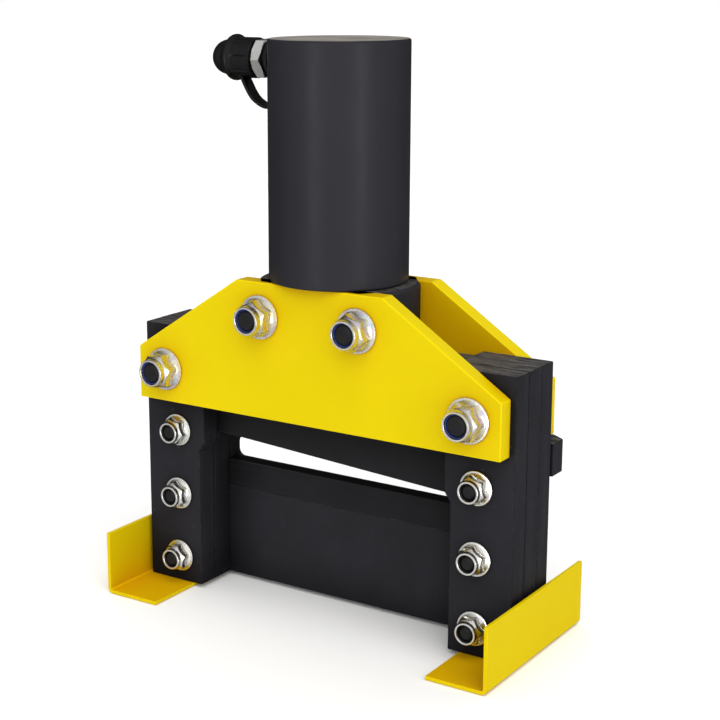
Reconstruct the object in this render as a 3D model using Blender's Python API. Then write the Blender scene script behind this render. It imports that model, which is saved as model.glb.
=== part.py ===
"""Hydraulic flat-bar cutter: a laminated steel frame with a shear slot, driven by a vertical ram cylinder.

Units are metres, +Z is up and the operator stands on the -Y side. The origin is on the floor, under the
cylinder's axis. The bar goes through the slot along Y, and the blade comes down in the middle layer.
"""

import math

import bmesh
import bpy
from mathutils import Vector

# Driving dimensions.
GAP = 0.0003  # clearance between pieces that rest on each other

FRAME_HALF_WIDTH = 0.149
FOOT_THICKNESS = 0.0026
FRAME_BOTTOM = FOOT_THICKNESS + GAP
FRAME_TOP = 0.1954
FRAME_FACE_Y = 0.0255  # half of the frame's whole depth
LAYER = 0.0164  # thickness of the front and back layers
MIDDLE_Y = FRAME_FACE_Y - LAYER - GAP  # half thickness of the middle layer

GUIDE_HALF_WIDTH = 0.098  # between the columns, where the blade slides
PASS_HALF_WIDTH = 0.1025  # between the columns, where the bar passes
SHOULDER_LOW = 0.1048
SHOULDER_HIGH = 0.1118

SLOT_HALF_WIDTH = 0.104
SLOT_FLOOR = 0.0895
SLOT_ROOF = 0.1045
SLOT_ROOF_FRONT = 0.1125
SLOT_RADIUS = 0.0055
BRIDGE_TOP = 0.1415  # top of the back plate between its columns

FIXED_EDGE = 0.0911
FIXED_BLADE_HEIGHT = 0.0203
FIXED_BLADE_DEPTH = 0.011

BLADE_LOW = 0.1044
BLADE_HIGH = 0.1168
BLADE_TOP = 0.1697
BLADE_Y = MIDDLE_Y - 0.0001
SLIDER_HALF_WIDTH = GUIDE_HALF_WIDTH - 0.0004
CROSSHEAD_LOW = BLADE_TOP + GAP
CROSSHEAD_HIGH = 0.192
CROSSHEAD_Y = FRAME_FACE_Y - GAP

PLATE_INNER_Y = FRAME_FACE_Y + GAP
PLATE_THICKNESS = 0.0128
PLATE_OUTER_Y = PLATE_INNER_Y + PLATE_THICKNESS
PLATE_LOW = 0.1427
PLATE_SHOULDER = 0.1806
PLATE_HIGH = 0.2377
PLATE_HALF_WIDTH = 0.1448
PLATE_TOP_HALF_WIDTH = 0.0578

BOLT_COLUMN_X = 0.1217
BOLT_ROW_LOW = 0.0223
BOLT_PITCH = 0.048
SEAT_BOLT_X = 0.0387
SEAT_BOLT_Z = 0.2137

CYLINDER_RADIUS = 0.0475
CYLINDER_LOW = PLATE_HIGH + GAP
CYLINDER_HIGH = 0.3987
BORE_RADIUS = 0.030
BORE_TOP = 0.376
NECK_RADIUS = 0.0358
NECK_TOP = 0.262
SEAT_RADIUS = 0.0555
SEAT_LOW = 0.197
GLAND_RADIUS = 0.0233
ROD_RADIUS = 0.019
PISTON_LOW = 0.350
PISTON_HIGH = 0.372

PORT_Z = 0.384
PORT_THREAD = 0.0066

FOOT_HALF_WIDTH = 0.1547
FOOT_INNER = 0.1106
FOOT_HEIGHT = 0.0457
FOOT_HALF_DEPTH = 0.0692
FOOT_BEND = 0.0038  # outer radius of the bend

BAR_HALF_WIDTH = 0.1505
BAR_LOW = 0.117
BAR_HIGH = 0.1395
BAR_BACK_Y = 0.0475

ROUND = 40  # sides of a large round shape
SMALL_ROUND = 12  # sides of a fastener

HOLE_PLAY = 0.0004  # added to a shank's radius for its hole
PAST = 0.005  # how far a cutter runs past the face it opens

# Fasteners: radius of shank and flange, width across the flats of nut and head, height of nut and head.
LARGE = {
    "shank": 0.007,
    "flange": 0.0152,
    "flats": 0.022,
    "nut": 0.017,
    "head": 0.021,
    "head_height": 0.0088,
}
SMALL = {
    "shank": 0.005,
    "flange": 0.0117,
    "flats": 0.017,
    "nut": 0.012,
    "head": 0.016,
    "head_height": 0.0064,
}


def clear_scene():
    for obj in list(bpy.data.objects):
        bpy.data.objects.remove(obj, do_unlink=True)


def material(name, color, roughness, metallic):
    made = bpy.data.materials.new(name)
    made.use_nodes = True
    shader = made.node_tree.nodes["Principled BSDF"]
    shader.inputs["Base Color"].default_value = (*color, 1.0)
    shader.inputs["Roughness"].default_value = roughness
    shader.inputs["Metallic"].default_value = metallic
    return made


def finished(name, mesh_builder, finish, location=(0, 0, 0), smooth=False):
    """A named object from a bmesh, with its material and its place."""
    mesh = bpy.data.meshes.new(name)
    bmesh.ops.recalc_face_normals(mesh_builder, faces=mesh_builder.faces)
    mesh_builder.to_mesh(mesh)
    mesh_builder.free()
    obj = bpy.data.objects.new(name, mesh)
    bpy.context.scene.collection.objects.link(obj)
    obj.location = location
    mesh.materials.append(material(name, *FINISHES[finish]))
    if smooth:
        mesh.shade_smooth()
        mesh.set_sharp_from_angle(angle=math.radians(35))
    return obj


def prism(name, outline, low, high, axis, finish, location=(0, 0, 0)):
    """A solid with this outline, drawn in the two other directions, from low to high along the axis."""
    build = bmesh.new()

    def corner(a, b, along):
        if axis == "X":
            return (along, a, b)
        if axis == "Y":
            return (a, along, b)
        return (a, b, along)

    start = [build.verts.new(corner(a, b, low)) for a, b in outline]
    end = [build.verts.new(corner(a, b, high)) for a, b in outline]
    build.faces.new(start)
    build.faces.new(end)
    for i in range(len(outline)):
        j = (i + 1) % len(outline)
        build.faces.new((start[i], start[j], end[j], end[i]))
    return finished(name, build, finish, location)


def turned(name, rings, axis, finish, location=(0, 0, 0), sides=ROUND, shape=None):
    """A solid of rings (radius, distance along the axis). A radius of zero closes an end, and without
    one the last ring joins the first. A ring's third value asks for its radius times shape(angle)."""
    build = bmesh.new()
    loops = []
    for ring in rings:
        radius, along = ring[0], ring[1]
        points = []
        for i in range(1 if radius == 0 else sides):
            angle = 2 * math.pi * i / sides
            reach = radius * shape(angle) if len(ring) == 3 else radius
            u, v = reach * math.cos(angle), reach * math.sin(angle)
            if axis == "X":
                points.append(build.verts.new((along, u, v)))
            elif axis == "Y":
                points.append(build.verts.new((u, along, v)))
            else:
                points.append(build.verts.new((u, v, along)))
        loops.append(points)
    pairs = list(zip(loops, loops[1:]))
    if len(loops[0]) > 1 and len(loops[-1]) > 1:
        pairs.append((loops[-1], loops[0]))
    for first, second in pairs:
        for i in range(sides):
            j = (i + 1) % sides
            if len(first) == 1:
                build.faces.new((first[0], second[i], second[j]))
            elif len(second) == 1:
                build.faces.new((first[i], first[j], second[0]))
            else:
                build.faces.new((first[i], first[j], second[j], second[i]))
    return finished(name, build, finish, location, smooth=True)


def hexagon(angle):
    """Distance to a hexagon's side over half its width across flats. A corner is at angle 0."""
    sector = math.pi / 3
    return 1 / math.cos((angle % sector) - sector / 2)


def rectangle(low_a, high_a, low_b, high_b):
    return [(low_a, low_b), (high_a, low_b), (high_a, high_b), (low_a, high_b)]


def take_edges_off(obj, width):
    bevel = obj.modifiers.new("edges", "BEVEL")
    bevel.width = width
    bevel.segments = 1
    bevel.limit_method = "ANGLE"
    bevel.angle_limit = math.radians(20)


def combine(obj, other, operation):
    modifier = obj.modifiers.new(other.name, "BOOLEAN")
    modifier.operation = operation
    modifier.solver = "EXACT"
    modifier.object = other
    other.hide_render = True
    other.display_type = "WIRE"


def cut(obj, *cutters):
    for cutter in cutters:
        combine(obj, cutter, "DIFFERENCE")


def hole(name, centre, radius, low, high, axis, sides=SMALL_ROUND):
    """A round cutter along the axis; centre holds the two other coordinates."""
    if axis == "X":
        location = (0, centre[0], centre[1])
    elif axis == "Y":
        location = (centre[0], 0, centre[1])
    else:
        location = (centre[0], centre[1], 0)
    rings = [(0, low), (radius, low), (radius, high), (0, high)]
    return turned(name, rings, axis, "cutter", location, sides)


def stepped_hole(name, centre, shank, head, start, step, end, axis):
    """A cutter for a socket screw: wide from start to the step, then narrow to the end."""
    location = (centre[0], 0, centre[1]) if axis == "Y" else (centre[0], centre[1], 0)
    rings = [(0, start), (head, start), (head, step), (shank, step), (shank, end), (0, end)]
    return turned(name, rings, axis, "cutter", location, SMALL_ROUND)


def arc(centre, radius, start, end, steps):
    """Points of an arc from start to end, in degrees."""
    angles = [math.radians(start + (end - start) * i / steps) for i in range(steps + 1)]
    return [(centre[0] + radius * math.cos(a), centre[1] + radius * math.sin(a)) for a in angles]


def mirrored(outline, side):
    return [(side * a, b) for a, b in outline]


def tube_along(name, points, section, finish):
    """A solid swept along points in space; section(i) gives its corners there as (across, normal) pairs."""
    build = bmesh.new()
    rings = []
    for i, point in enumerate(points):
        before = points[max(i - 1, 0)]
        after = points[min(i + 1, len(points) - 1)]
        forward = (after - before).normalized()
        across, normal = section.frame(point, forward)
        ring = [build.verts.new(point + across * a + normal * b) for a, b in section.corners]
        rings.append(ring)
    count = len(section.corners)
    for first, second in zip(rings, rings[1:]):
        for i in range(count):
            j = (i + 1) % count
            build.faces.new((first[i], first[j], second[j], second[i]))
    build.faces.new(rings[0])
    build.faces.new(rings[-1])
    return finished(name, build, finish, smooth=True)


class CoilWire:
    """Round wire whose section stays square to a coil that is wound about an axis line."""

    def __init__(self, radius, axis, sides):
        self.axis = Vector(axis)
        self.corners = arc((0, 0), radius, 0, 360 * (1 - 1 / sides), sides - 1)

    def frame(self, point, forward):
        across = self.axis - forward * self.axis.dot(forward)
        across.normalize()
        return across, across.cross(forward)


class Band:
    """A flat band that keeps its width along Y."""

    def __init__(self, width, thickness):
        w, t = width / 2, thickness / 2
        self.corners = [(-w, -t), (w, -t), (w, t), (-w, t)]

    def frame(self, point, forward):
        across = Vector((0, 1, 0))
        return across, across.cross(forward)


# Colour, roughness and metallic value of each finish.
FINISHES = {
    "black_steel": ((0.028, 0.028, 0.031), 0.45, 0.6),
    "black_body": ((0.030, 0.030, 0.034), 0.5, 0.4),
    "yellow_paint": ((0.83, 0.66, 0.01), 0.4, 0.0),
    "zinc": ((0.72, 0.72, 0.70), 0.3, 1.0),
    "dark_bolt": ((0.05, 0.05, 0.055), 0.4, 0.8),
    "tool_steel": ((0.09, 0.09, 0.10), 0.35, 0.9),
    "chromed_rod": ((0.7, 0.7, 0.72), 0.15, 1.0),
    "bronze": ((0.55, 0.36, 0.16), 0.4, 1.0),
    "seal": ((0.03, 0.08, 0.05), 0.6, 0.0),
    "spring_steel": ((0.25, 0.25, 0.27), 0.35, 1.0),
    "rubber": ((0.015, 0.015, 0.016), 0.7, 0.0),
    "nickel": ((0.66, 0.66, 0.65), 0.3, 1.0),
    "cutter": ((1.0, 0.0, 1.0), 0.5, 0.0),
}


def bolt_rows():
    """Heights of the bolts in each column, from the floor up: three small ones, then a large one."""
    return [BOLT_ROW_LOW + BOLT_PITCH * i for i in range(4)]


def column_holes(name, side, low, high):
    cutters = []
    for row, z in enumerate(bolt_rows()):
        radius = (LARGE if row == 3 else SMALL)["shank"] + HOLE_PLAY
        cutters.append(hole(f"{name}_hole_{row}", (side * BOLT_COLUMN_X, z), radius, low, high, "Y"))
    return cutters


def column_outline(side):
    """A column of the front or middle layer: narrow where the bar passes, wide beside the blade."""
    return mirrored(
        [
            (PASS_HALF_WIDTH, FRAME_BOTTOM),
            (FRAME_HALF_WIDTH, FRAME_BOTTOM),
            (FRAME_HALF_WIDTH, FRAME_TOP),
            (GUIDE_HALF_WIDTH, FRAME_TOP),
            (GUIDE_HALF_WIDTH, SHOULDER_HIGH),
            (PASS_HALF_WIDTH, SHOULDER_LOW),
        ],
        side,
    )


FOOT_SCREW_X = 0.126
FOOT_SCREW_Y = FRAME_FACE_Y - LAYER / 2
FOOT_SCREW_TIP = 0.0145
FOOT_SCREW_RADIUS = 0.003
FOOT_SCREW_HEAD = 0.0056


def foot_screw_hole(name, side, y):
    radius = FOOT_SCREW_RADIUS + GAP
    return hole(name, (side * FOOT_SCREW_X, y), radius, -0.001, FOOT_SCREW_TIP + GAP, "Z")


def build_columns():
    front = -FRAME_FACE_Y
    for side, word in ((-1, "left"), (1, "right")):
        post = prism(f"front_post_{word}", column_outline(side), front, front + LAYER, "Y", "black_steel")
        take_edges_off(post, 0.0008)
        cut(post, *column_holes(f"post_{word}", side, front - PAST, front + LAYER + PAST))
        cut(post, foot_screw_hole(f"post_{word}_foot_hole", side, -FOOT_SCREW_Y))
        spacer = prism(f"spacer_{word}", column_outline(side), -MIDDLE_Y, MIDDLE_Y, "Y", "black_steel")
        take_edges_off(spacer, 0.0005)
        cut(spacer, *column_holes(f"spacer_{word}", side, -MIDDLE_Y - PAST, MIDDLE_Y + PAST))


def slot_outline(roof):
    """The slot's outline in X and Z, with round corners."""
    right = SLOT_HALF_WIDTH - SLOT_RADIUS
    floor = SLOT_FLOOR + SLOT_RADIUS
    ceiling = roof - SLOT_RADIUS
    return (
        arc((right, floor), SLOT_RADIUS, -90, 0, 5)
        + arc((right, ceiling), SLOT_RADIUS, 0, 90, 5)
        + arc((-right, ceiling), SLOT_RADIUS, 90, 180, 5)
        + arc((-right, floor), SLOT_RADIUS, 180, 270, 5)
    )


def slot_cutter():
    """The slot through the back plate. Its roof rises towards the blade, so that an offcut can tip."""
    build = bmesh.new()
    past = 0.002
    back_y, front_y = FRAME_FACE_Y + past, FRAME_FACE_Y - LAYER - past
    back = [build.verts.new((x, back_y, z)) for x, z in slot_outline(SLOT_ROOF)]
    front = [build.verts.new((x, front_y, z)) for x, z in slot_outline(SLOT_ROOF_FRONT)]
    build.faces.new(back)
    build.faces.new(front)
    for i in range(len(back)):
        j = (i + 1) % len(back)
        build.faces.new((back[i], back[j], front[j], front[i]))
    return finished("slot_cutter", build, "cutter")


FIXED_SCREW_X = 0.060
FIXED_SCREW_Z = 0.0805
FIXED_SCREW_RADIUS = 0.003
BAR_SCREW_RADIUS = 0.004
BAR_SCREW_X = (-0.084, -0.028, 0.028, 0.084)
BAR_SCREW_Z = (BAR_LOW + BAR_HIGH) / 2
BAR_SCREW_START = 0.003  # how deep in the back plate its hole starts


def build_back_plate():
    low_y, high_y = FRAME_FACE_Y - LAYER, FRAME_FACE_Y
    outline = [
        (-FRAME_HALF_WIDTH, FRAME_BOTTOM),
        (FRAME_HALF_WIDTH, FRAME_BOTTOM),
        (FRAME_HALF_WIDTH, FRAME_TOP),
        (GUIDE_HALF_WIDTH, FRAME_TOP),
        (GUIDE_HALF_WIDTH, BRIDGE_TOP),
        (-GUIDE_HALF_WIDTH, BRIDGE_TOP),
        (-GUIDE_HALF_WIDTH, FRAME_TOP),
        (-FRAME_HALF_WIDTH, FRAME_TOP),
    ]
    plate = prism("back_plate", outline, low_y, high_y, "Y", "black_steel")
    take_edges_off(plate, 0.0008)
    cut(plate, slot_cutter())
    half = PASS_HALF_WIDTH + GAP / 3
    rabbet = rectangle(-half, half, FIXED_EDGE - FIXED_BLADE_HEIGHT - GAP, FIXED_EDGE + 0.003)
    cut(plate, prism("rabbet", rabbet, low_y - PAST, low_y + FIXED_BLADE_DEPTH + GAP, "Y", "cutter"))
    for side, word in ((-1, "left"), (1, "right")):
        cut(plate, *column_holes(f"back_{word}", side, low_y - PAST, high_y + PAST))
        cut(plate, foot_screw_hole(f"back_{word}_foot_hole", side, FOOT_SCREW_Y))
        centre = (side * FIXED_SCREW_X, FIXED_SCREW_Z)
        radius = FIXED_SCREW_RADIUS + HOLE_PLAY
        cut(plate, hole(f"fixed_screw_hole_{word}", centre, radius, low_y, high_y + PAST, "Y"))
    for i, x in enumerate(BAR_SCREW_X):
        centre = (x, BAR_SCREW_Z)
        radius = BAR_SCREW_RADIUS + GAP
        start = low_y + BAR_SCREW_START
        cut(plate, hole(f"bar_screw_hole_{i}", centre, radius, start, high_y + PAST, "Y"))


def build_fixed_blade():
    low_y = FRAME_FACE_Y - LAYER
    low, high = FIXED_EDGE - FIXED_BLADE_HEIGHT, FIXED_EDGE
    half, radius = PASS_HALF_WIDTH - GAP, 0.003
    outline = (
        [(-half, low), (half, low)]
        + arc((half - radius, high - radius), radius, 0, 90, 4)
        + arc((-half + radius, high - radius), radius, 90, 180, 4)
    )
    blade = prism("lower_blade", outline, low_y, low_y + FIXED_BLADE_DEPTH, "Y", "tool_steel")
    for side, word in ((-1, "left"), (1, "right")):
        centre = (side * FIXED_SCREW_X, FIXED_SCREW_Z)
        thread, shank, head = low_y + 0.003, FIXED_SCREW_RADIUS, 0.0055
        cut(blade, hole(f"blade_thread_{word}", centre, shank + HOLE_PLAY, thread, low_y + 0.02, "Y"))
        rings = [
            (0, thread + 0.0006),
            (shank, thread + 0.0006),
            (shank, FRAME_FACE_Y + GAP),
            (head, FRAME_FACE_Y + GAP),
            (head, FRAME_FACE_Y + 0.0045),
            (0.0035, FRAME_FACE_Y + 0.0062),
            (0, FRAME_FACE_Y + 0.0062),
        ]
        location = (centre[0], 0, centre[1])
        turned(f"lower_blade_screw_{word}", rings, "Y", "dark_bolt", location, SMALL_ROUND)


def build_back_bar():
    """The bar behind the slot's bridge, with reliefs for the bolt heads and its outer corners cut off."""
    chamfer_x, chamfer_y = 0.0095, 0.0068
    near = FRAME_FACE_Y + GAP
    half = [
        (BAR_HALF_WIDTH, near),
        (BAR_HALF_WIDTH, BAR_BACK_Y - chamfer_y),
        (BAR_HALF_WIDTH - chamfer_x, BAR_BACK_Y),
    ]
    outline = half + [(-x, y) for x, y in reversed(half)]
    bar = prism("back_bar", outline, BAR_LOW, BAR_HIGH, "Z", "black_steel")
    take_edges_off(bar, 0.0006)
    relief = 0.0135
    past_near, past_back = near - PAST, BAR_BACK_Y + PAST
    for side, word in ((-1, "left"), (1, "right")):
        centre = (side * BOLT_COLUMN_X, bolt_rows()[2])
        cut(bar, hole(f"bar_relief_{word}", centre, relief, past_near, past_back, "Y", 18))
    shank, head, head_height, socket = BAR_SCREW_RADIUS, 0.0065, 0.008, 0.0034
    head_low, tip = BAR_BACK_Y - head_height - 0.0005, FRAME_FACE_Y - LAYER + BAR_SCREW_START + GAP
    for i, x in enumerate(BAR_SCREW_X):
        sizes = (shank + GAP, head + GAP, past_back, head_low - GAP, past_near)
        cut(bar, stepped_hole(f"bar_hole_{i}", (x, BAR_SCREW_Z), *sizes, "Y"))
        rings = [
            (0, tip),
            (shank, tip),
            (shank, head_low),
            (head, head_low),
            (head, head_low + head_height),
            (socket, head_low + head_height, 1),
            (socket, head_low + head_height / 2, 1),
            (0, head_low + head_height / 2),
        ]
        location = (x, 0, BAR_SCREW_Z)
        turned(f"back_bar_screw_{i + 1}", rings, "Y", "dark_bolt", location, SMALL_ROUND, hexagon)


def build_side_plates():
    outline = [
        (-PLATE_HALF_WIDTH, PLATE_LOW),
        (PLATE_HALF_WIDTH, PLATE_LOW),
        (PLATE_HALF_WIDTH, PLATE_SHOULDER),
        (PLATE_TOP_HALF_WIDTH, PLATE_HIGH),
        (-PLATE_TOP_HALF_WIDTH, PLATE_HIGH),
        (-PLATE_HALF_WIDTH, PLATE_SHOULDER),
    ]
    spans = {"front": (-PLATE_OUTER_Y, -PLATE_INNER_Y), "back": (PLATE_INNER_Y, PLATE_OUTER_Y)}
    for word, (low, high) in spans.items():
        plate = prism(f"side_plate_{word}", outline, low, high, "Y", "yellow_paint")
        take_edges_off(plate, 0.001)
        radius = LARGE["shank"] + HOLE_PLAY
        for i, centre in enumerate(large_bolt_centres()):
            cut(plate, hole(f"plate_{word}_hole_{i}", centre, radius, low - PAST, high + PAST, "Y"))


def large_bolt_centres():
    outer_z = bolt_rows()[3]
    return [
        (-BOLT_COLUMN_X, outer_z),
        (-SEAT_BOLT_X, SEAT_BOLT_Z),
        (SEAT_BOLT_X, SEAT_BOLT_Z),
        (BOLT_COLUMN_X, outer_z),
    ]


def bolt_and_nut(bolt_name, nut_name, size, centre, face_y):
    """A hex bolt with its head behind face_y, and a flanged lock nut in front of -face_y."""
    shank, half_head = size["shank"], size["head"] / 2
    head = face_y + GAP
    tip = -face_y - GAP - size["nut"] + 0.0006
    location = (centre[0], 0, centre[1])
    rings = [
        (0, tip),
        (shank - 0.001, tip),
        (shank, tip + 0.001),
        (shank, head),
        (half_head, head, 1),
        (half_head, head + size["head_height"] * 0.85, 1),
        (half_head * 0.94, head + size["head_height"]),
        (0, head + size["head_height"]),
    ]
    turned(bolt_name, rings, "Y", "dark_bolt", location, SMALL_ROUND, hexagon)
    seat, height, flats = -face_y - GAP, size["nut"], size["flats"] / 2
    rings = [
        (shank + GAP, seat),
        (size["flange"], seat),
        (size["flange"], seat - height * 0.08),
        (flats, seat - height * 0.22, 1),
        (flats, seat - height * 0.68, 1),
        (flats * 0.93, seat - height * 0.74),
        (flats * 0.88, seat - height),
        (shank + GAP, seat - height),
    ]
    turned(nut_name, rings, "Y", "zinc", location, SMALL_ROUND, hexagon)


def build_fasteners():
    for i, centre in enumerate(large_bolt_centres()):
        bolt_and_nut(f"large_bolt_{i + 1}", f"large_nut_{i + 1}", LARGE, centre, PLATE_OUTER_Y)
    for side, word in ((-1, "left"), (1, "right")):
        for row, z in enumerate(bolt_rows()[:3]):
            centre = (side * BOLT_COLUMN_X, z)
            names = (f"post_bolt_{word}_{row + 1}", f"post_nut_{word}_{row + 1}")
            bolt_and_nut(*names, SMALL, centre, FRAME_FACE_Y)


def build_feet():
    outer, inner, high, thick, bend = FOOT_HALF_WIDTH, FOOT_INNER, FOOT_HEIGHT, FOOT_THICKNESS, FOOT_BEND
    head, shank, play = FOOT_SCREW_HEAD, FOOT_SCREW_RADIUS, 0.0006
    angle = (
        [(inner, thick), (inner, 0)]
        + arc((outer - bend, bend), bend, -90, 0, 4)
        + [(outer, high), (outer - thick, high)]
        + arc((outer - bend, bend), bend - thick, 0, -90, 3)
    )
    for side, word in ((-1, "left"), (1, "right")):
        foot = prism(
            f"foot_{word}", mirrored(angle, side), -FOOT_HALF_DEPTH, FOOT_HALF_DEPTH, "Y", "yellow_paint"
        )
        for end, y in (("front", -FOOT_SCREW_Y), ("back", FOOT_SCREW_Y)):
            location = (side * FOOT_SCREW_X, y, 0)
            sink = [
                (0, -GAP),
                (head + play, -GAP),
                (head + play, GAP),
                (shank + play, thick),
                (shank + play, thick + GAP),
                (0, thick + GAP),
            ]
            cut(foot, turned(f"sink_{word}_{end}", sink, "Z", "cutter", location, SMALL_ROUND))
            screw = [(0, GAP), (head, GAP), (shank, thick), (shank, FOOT_SCREW_TIP), (0, FOOT_SCREW_TIP)]
            turned(f"foot_screw_{word}_{end}", screw, "Z", "dark_bolt", location, SMALL_ROUND)


def build_cylinder():
    outer, low, high = CYLINDER_RADIUS, CYLINDER_LOW, CYLINDER_HIGH
    rings = [
        (0, high),
        (outer - 0.0012, high),
        (outer, high - 0.0012),
        (outer, low + 0.001),
        (outer - 0.001, low),
        (NECK_RADIUS + GAP, low),
        (NECK_RADIUS + GAP, NECK_TOP + GAP),
        (BORE_RADIUS, NECK_TOP + GAP),
        (BORE_RADIUS, BORE_TOP),
        (0, BORE_TOP),
    ]
    body = turned("cylinder_body", rings, "Z", "black_body")
    port_end, gallery_x, gallery_radius = -0.018, -0.0215, 0.0025
    cut(body, hole("port_cutter", (0, PORT_Z), PORT_THREAD + HOLE_PLAY, -outer - PAST, port_end, "X"))
    cut(body, hole("gallery_cutter", (gallery_x, 0), gallery_radius, BORE_TOP - 0.004, PORT_Z, "Z"))


def build_seat():
    """The cylinder's seat: a round flange with two flats, its screwed neck inside the cylinder."""
    rings = [
        (GLAND_RADIUS, SEAT_LOW),
        (SEAT_RADIUS - 0.001, SEAT_LOW),
        (SEAT_RADIUS, SEAT_LOW + 0.001),
        (SEAT_RADIUS, PLATE_HIGH - 0.0025),
        (SEAT_RADIUS - 0.0025, PLATE_HIGH),
        (NECK_RADIUS, PLATE_HIGH),
        (NECK_RADIUS, NECK_TOP),
        (GLAND_RADIUS, NECK_TOP),
    ]
    seat = turned("cylinder_seat", rings, "Z", "black_steel")
    reach, flat = 0.08, PLATE_INNER_Y - GAP
    for side, word in ((-1, "front"), (1, "back")):
        low, high = sorted((side * flat, side * reach))
        outline = rectangle(-reach, reach, SEAT_LOW - PAST, PLATE_HIGH + GAP / 2)
        cut(seat, prism(f"seat_flat_{word}", outline, low, high, "Y", "cutter"))
    for side, word in ((-1, "left"), (1, "right")):
        centre = (side * SEAT_BOLT_X, SEAT_BOLT_Z)
        cut(seat, hole(f"seat_hole_{word}", centre, LARGE["shank"] + HOLE_PLAY, -reach, reach, "Y"))


def ring_piece(name, inner, outer, low, high, finish, parent=None):
    rings = [(inner, low), (outer, low), (outer, high), (inner, high)]
    obj = turned(name, rings, "Z", finish, sides=24)
    obj.parent = parent
    return obj


def build_gland():
    inner, outer = ROD_RADIUS + 0.0002, GLAND_RADIUS - GAP
    wiper_top, bush_top, seal_top = SEAT_LOW + 0.004, 0.2497, 0.258
    ring_piece("rod_wiper", inner, outer, SEAT_LOW + GAP, wiper_top, "seal")
    ring_piece("rod_bush", inner, outer, wiper_top + GAP, bush_top, "bronze")
    ring_piece("rod_seal", inner, outer, bush_top + GAP, seal_top, "seal")


RAM_SCREW_LOW = 0.172
RAM_SCREW_HEAD = 0.182
RAM_SCREW_TIP = 0.213
RAM_SCREW_RADIUS = 0.005
RAM_SCREW_HEAD_RADIUS = 0.008
BLADE_SCREW_X = 0.062
BLADE_SCREW_TIP = 0.151
BLADE_SCREW_HEAD = 0.1817


def build_ram(carrier):
    """The piston with its rod, which rides with the blade; the carrier empty lies on the ram's axis."""
    groove_low, groove_high, groove_radius = 0.358, 0.364, 0.0265
    thread = RAM_SCREW_RADIUS + GAP
    rings = [
        (0, RAM_SCREW_TIP + GAP),
        (thread, RAM_SCREW_TIP + GAP),
        (thread, CROSSHEAD_HIGH + GAP),
        (ROD_RADIUS - 0.001, CROSSHEAD_HIGH + GAP),
        (ROD_RADIUS, CROSSHEAD_HIGH + GAP + 0.001),
        (ROD_RADIUS, PISTON_LOW),
        (BORE_RADIUS - GAP, PISTON_LOW),
        (BORE_RADIUS - GAP, groove_low),
        (groove_radius, groove_low),
        (groove_radius, groove_high),
        (BORE_RADIUS - GAP, groove_high),
        (BORE_RADIUS - GAP, PISTON_HIGH),
        (0, PISTON_HIGH),
    ]
    turned("piston_ram", rings, "Z", "chromed_rod", sides=24).parent = carrier
    inner, outer = groove_radius + GAP, BORE_RADIUS - 0.0002
    ring_piece("piston_seal", inner, outer, groove_low + GAP, groove_high - GAP, "seal", carrier)


def build_crosshead(carrier):
    """The block between the side plates that the rod pushes, and the blade that hangs under it."""
    outline = rectangle(-SLIDER_HALF_WIDTH, SLIDER_HALF_WIDTH, CROSSHEAD_LOW, CROSSHEAD_HIGH)
    crosshead = prism("crosshead", outline, -CROSSHEAD_Y, CROSSHEAD_Y, "Y", "black_steel")
    take_edges_off(crosshead, 0.001)
    crosshead.parent = carrier
    below, above, step = CROSSHEAD_LOW - PAST, CROSSHEAD_HIGH + PAST, RAM_SCREW_HEAD + GAP
    shank, head = RAM_SCREW_RADIUS, RAM_SCREW_HEAD_RADIUS
    widths = (shank + HOLE_PLAY, head + HOLE_PLAY)
    cut(crosshead, stepped_hole("ram_screw_hole", (0, 0), *widths, below, step, above, "Z"))
    rings = [(0, RAM_SCREW_LOW), (head, RAM_SCREW_LOW), (head, RAM_SCREW_HEAD), (shank, RAM_SCREW_HEAD)]
    rings += [(shank, RAM_SCREW_TIP), (0, RAM_SCREW_TIP)]
    turned("ram_screw", rings, "Z", "dark_bolt", sides=SMALL_ROUND).parent = carrier

    outline = [
        (-SLIDER_HALF_WIDTH, BLADE_HIGH),
        (SLIDER_HALF_WIDTH, BLADE_LOW),
        (SLIDER_HALF_WIDTH, BLADE_TOP),
        (-SLIDER_HALF_WIDTH, BLADE_TOP),
    ]
    blade = prism("upper_blade", outline, -BLADE_Y, BLADE_Y, "Y", "tool_steel")
    blade.parent = carrier
    take_edges_off(blade, 0.0004)
    tip, head_low, head_height, socket = BLADE_SCREW_TIP, BLADE_SCREW_HEAD, 0.0095, 0.0042
    for side, word in ((-1, "left"), (1, "right")):
        centre = (side * BLADE_SCREW_X, 0)
        name = f"blade_screw_hole_{word}"
        cut(crosshead, stepped_hole(name, centre, *widths, above, head_low - GAP, below, "Z"))
        cut(blade, hole(f"blade_thread_{word}_upper", centre, widths[0], tip - GAP, BLADE_TOP + PAST, "Z"))
        rings = [
            (0, tip),
            (shank, tip),
            (shank, head_low),
            (head, head_low),
            (head, head_low + head_height),
            (socket, head_low + head_height, 1),
            (socket, head_low + head_height / 2, 1),
            (0, head_low + head_height / 2),
        ]
        screw = turned(f"blade_screw_{word}", rings, "Z", "dark_bolt", (*centre, 0), SMALL_ROUND, hexagon)
        screw.parent = carrier


def coil(name, mean_radius, wire_radius, turns, start, end, direction, steps, sides, finish):
    """A coil spring whose end turns lie flat. It runs from start to end, two points on its axis."""
    start, end, axis = Vector(start), Vector(end), Vector(direction)
    side = Vector((0, 1, 0))
    up = axis.cross(side)
    length = (end - start).length
    count = int(turns * steps)
    flat = 0.9  # part of a turn that lies flat at each end
    points = []
    for i in range(count + 1):
        turn = turns * i / count
        climb = min(max((turn - flat) / (turns - 2 * flat), 0), 1)
        rise = wire_radius + (length - 2 * wire_radius) * climb
        angle = 2 * math.pi * turn
        radial = side * math.cos(angle) + up * math.sin(angle)
        points.append(start + axis * rise + radial * mean_radius)
    return tube_along(name, points, CoilWire(wire_radius, direction, sides), finish)


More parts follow.
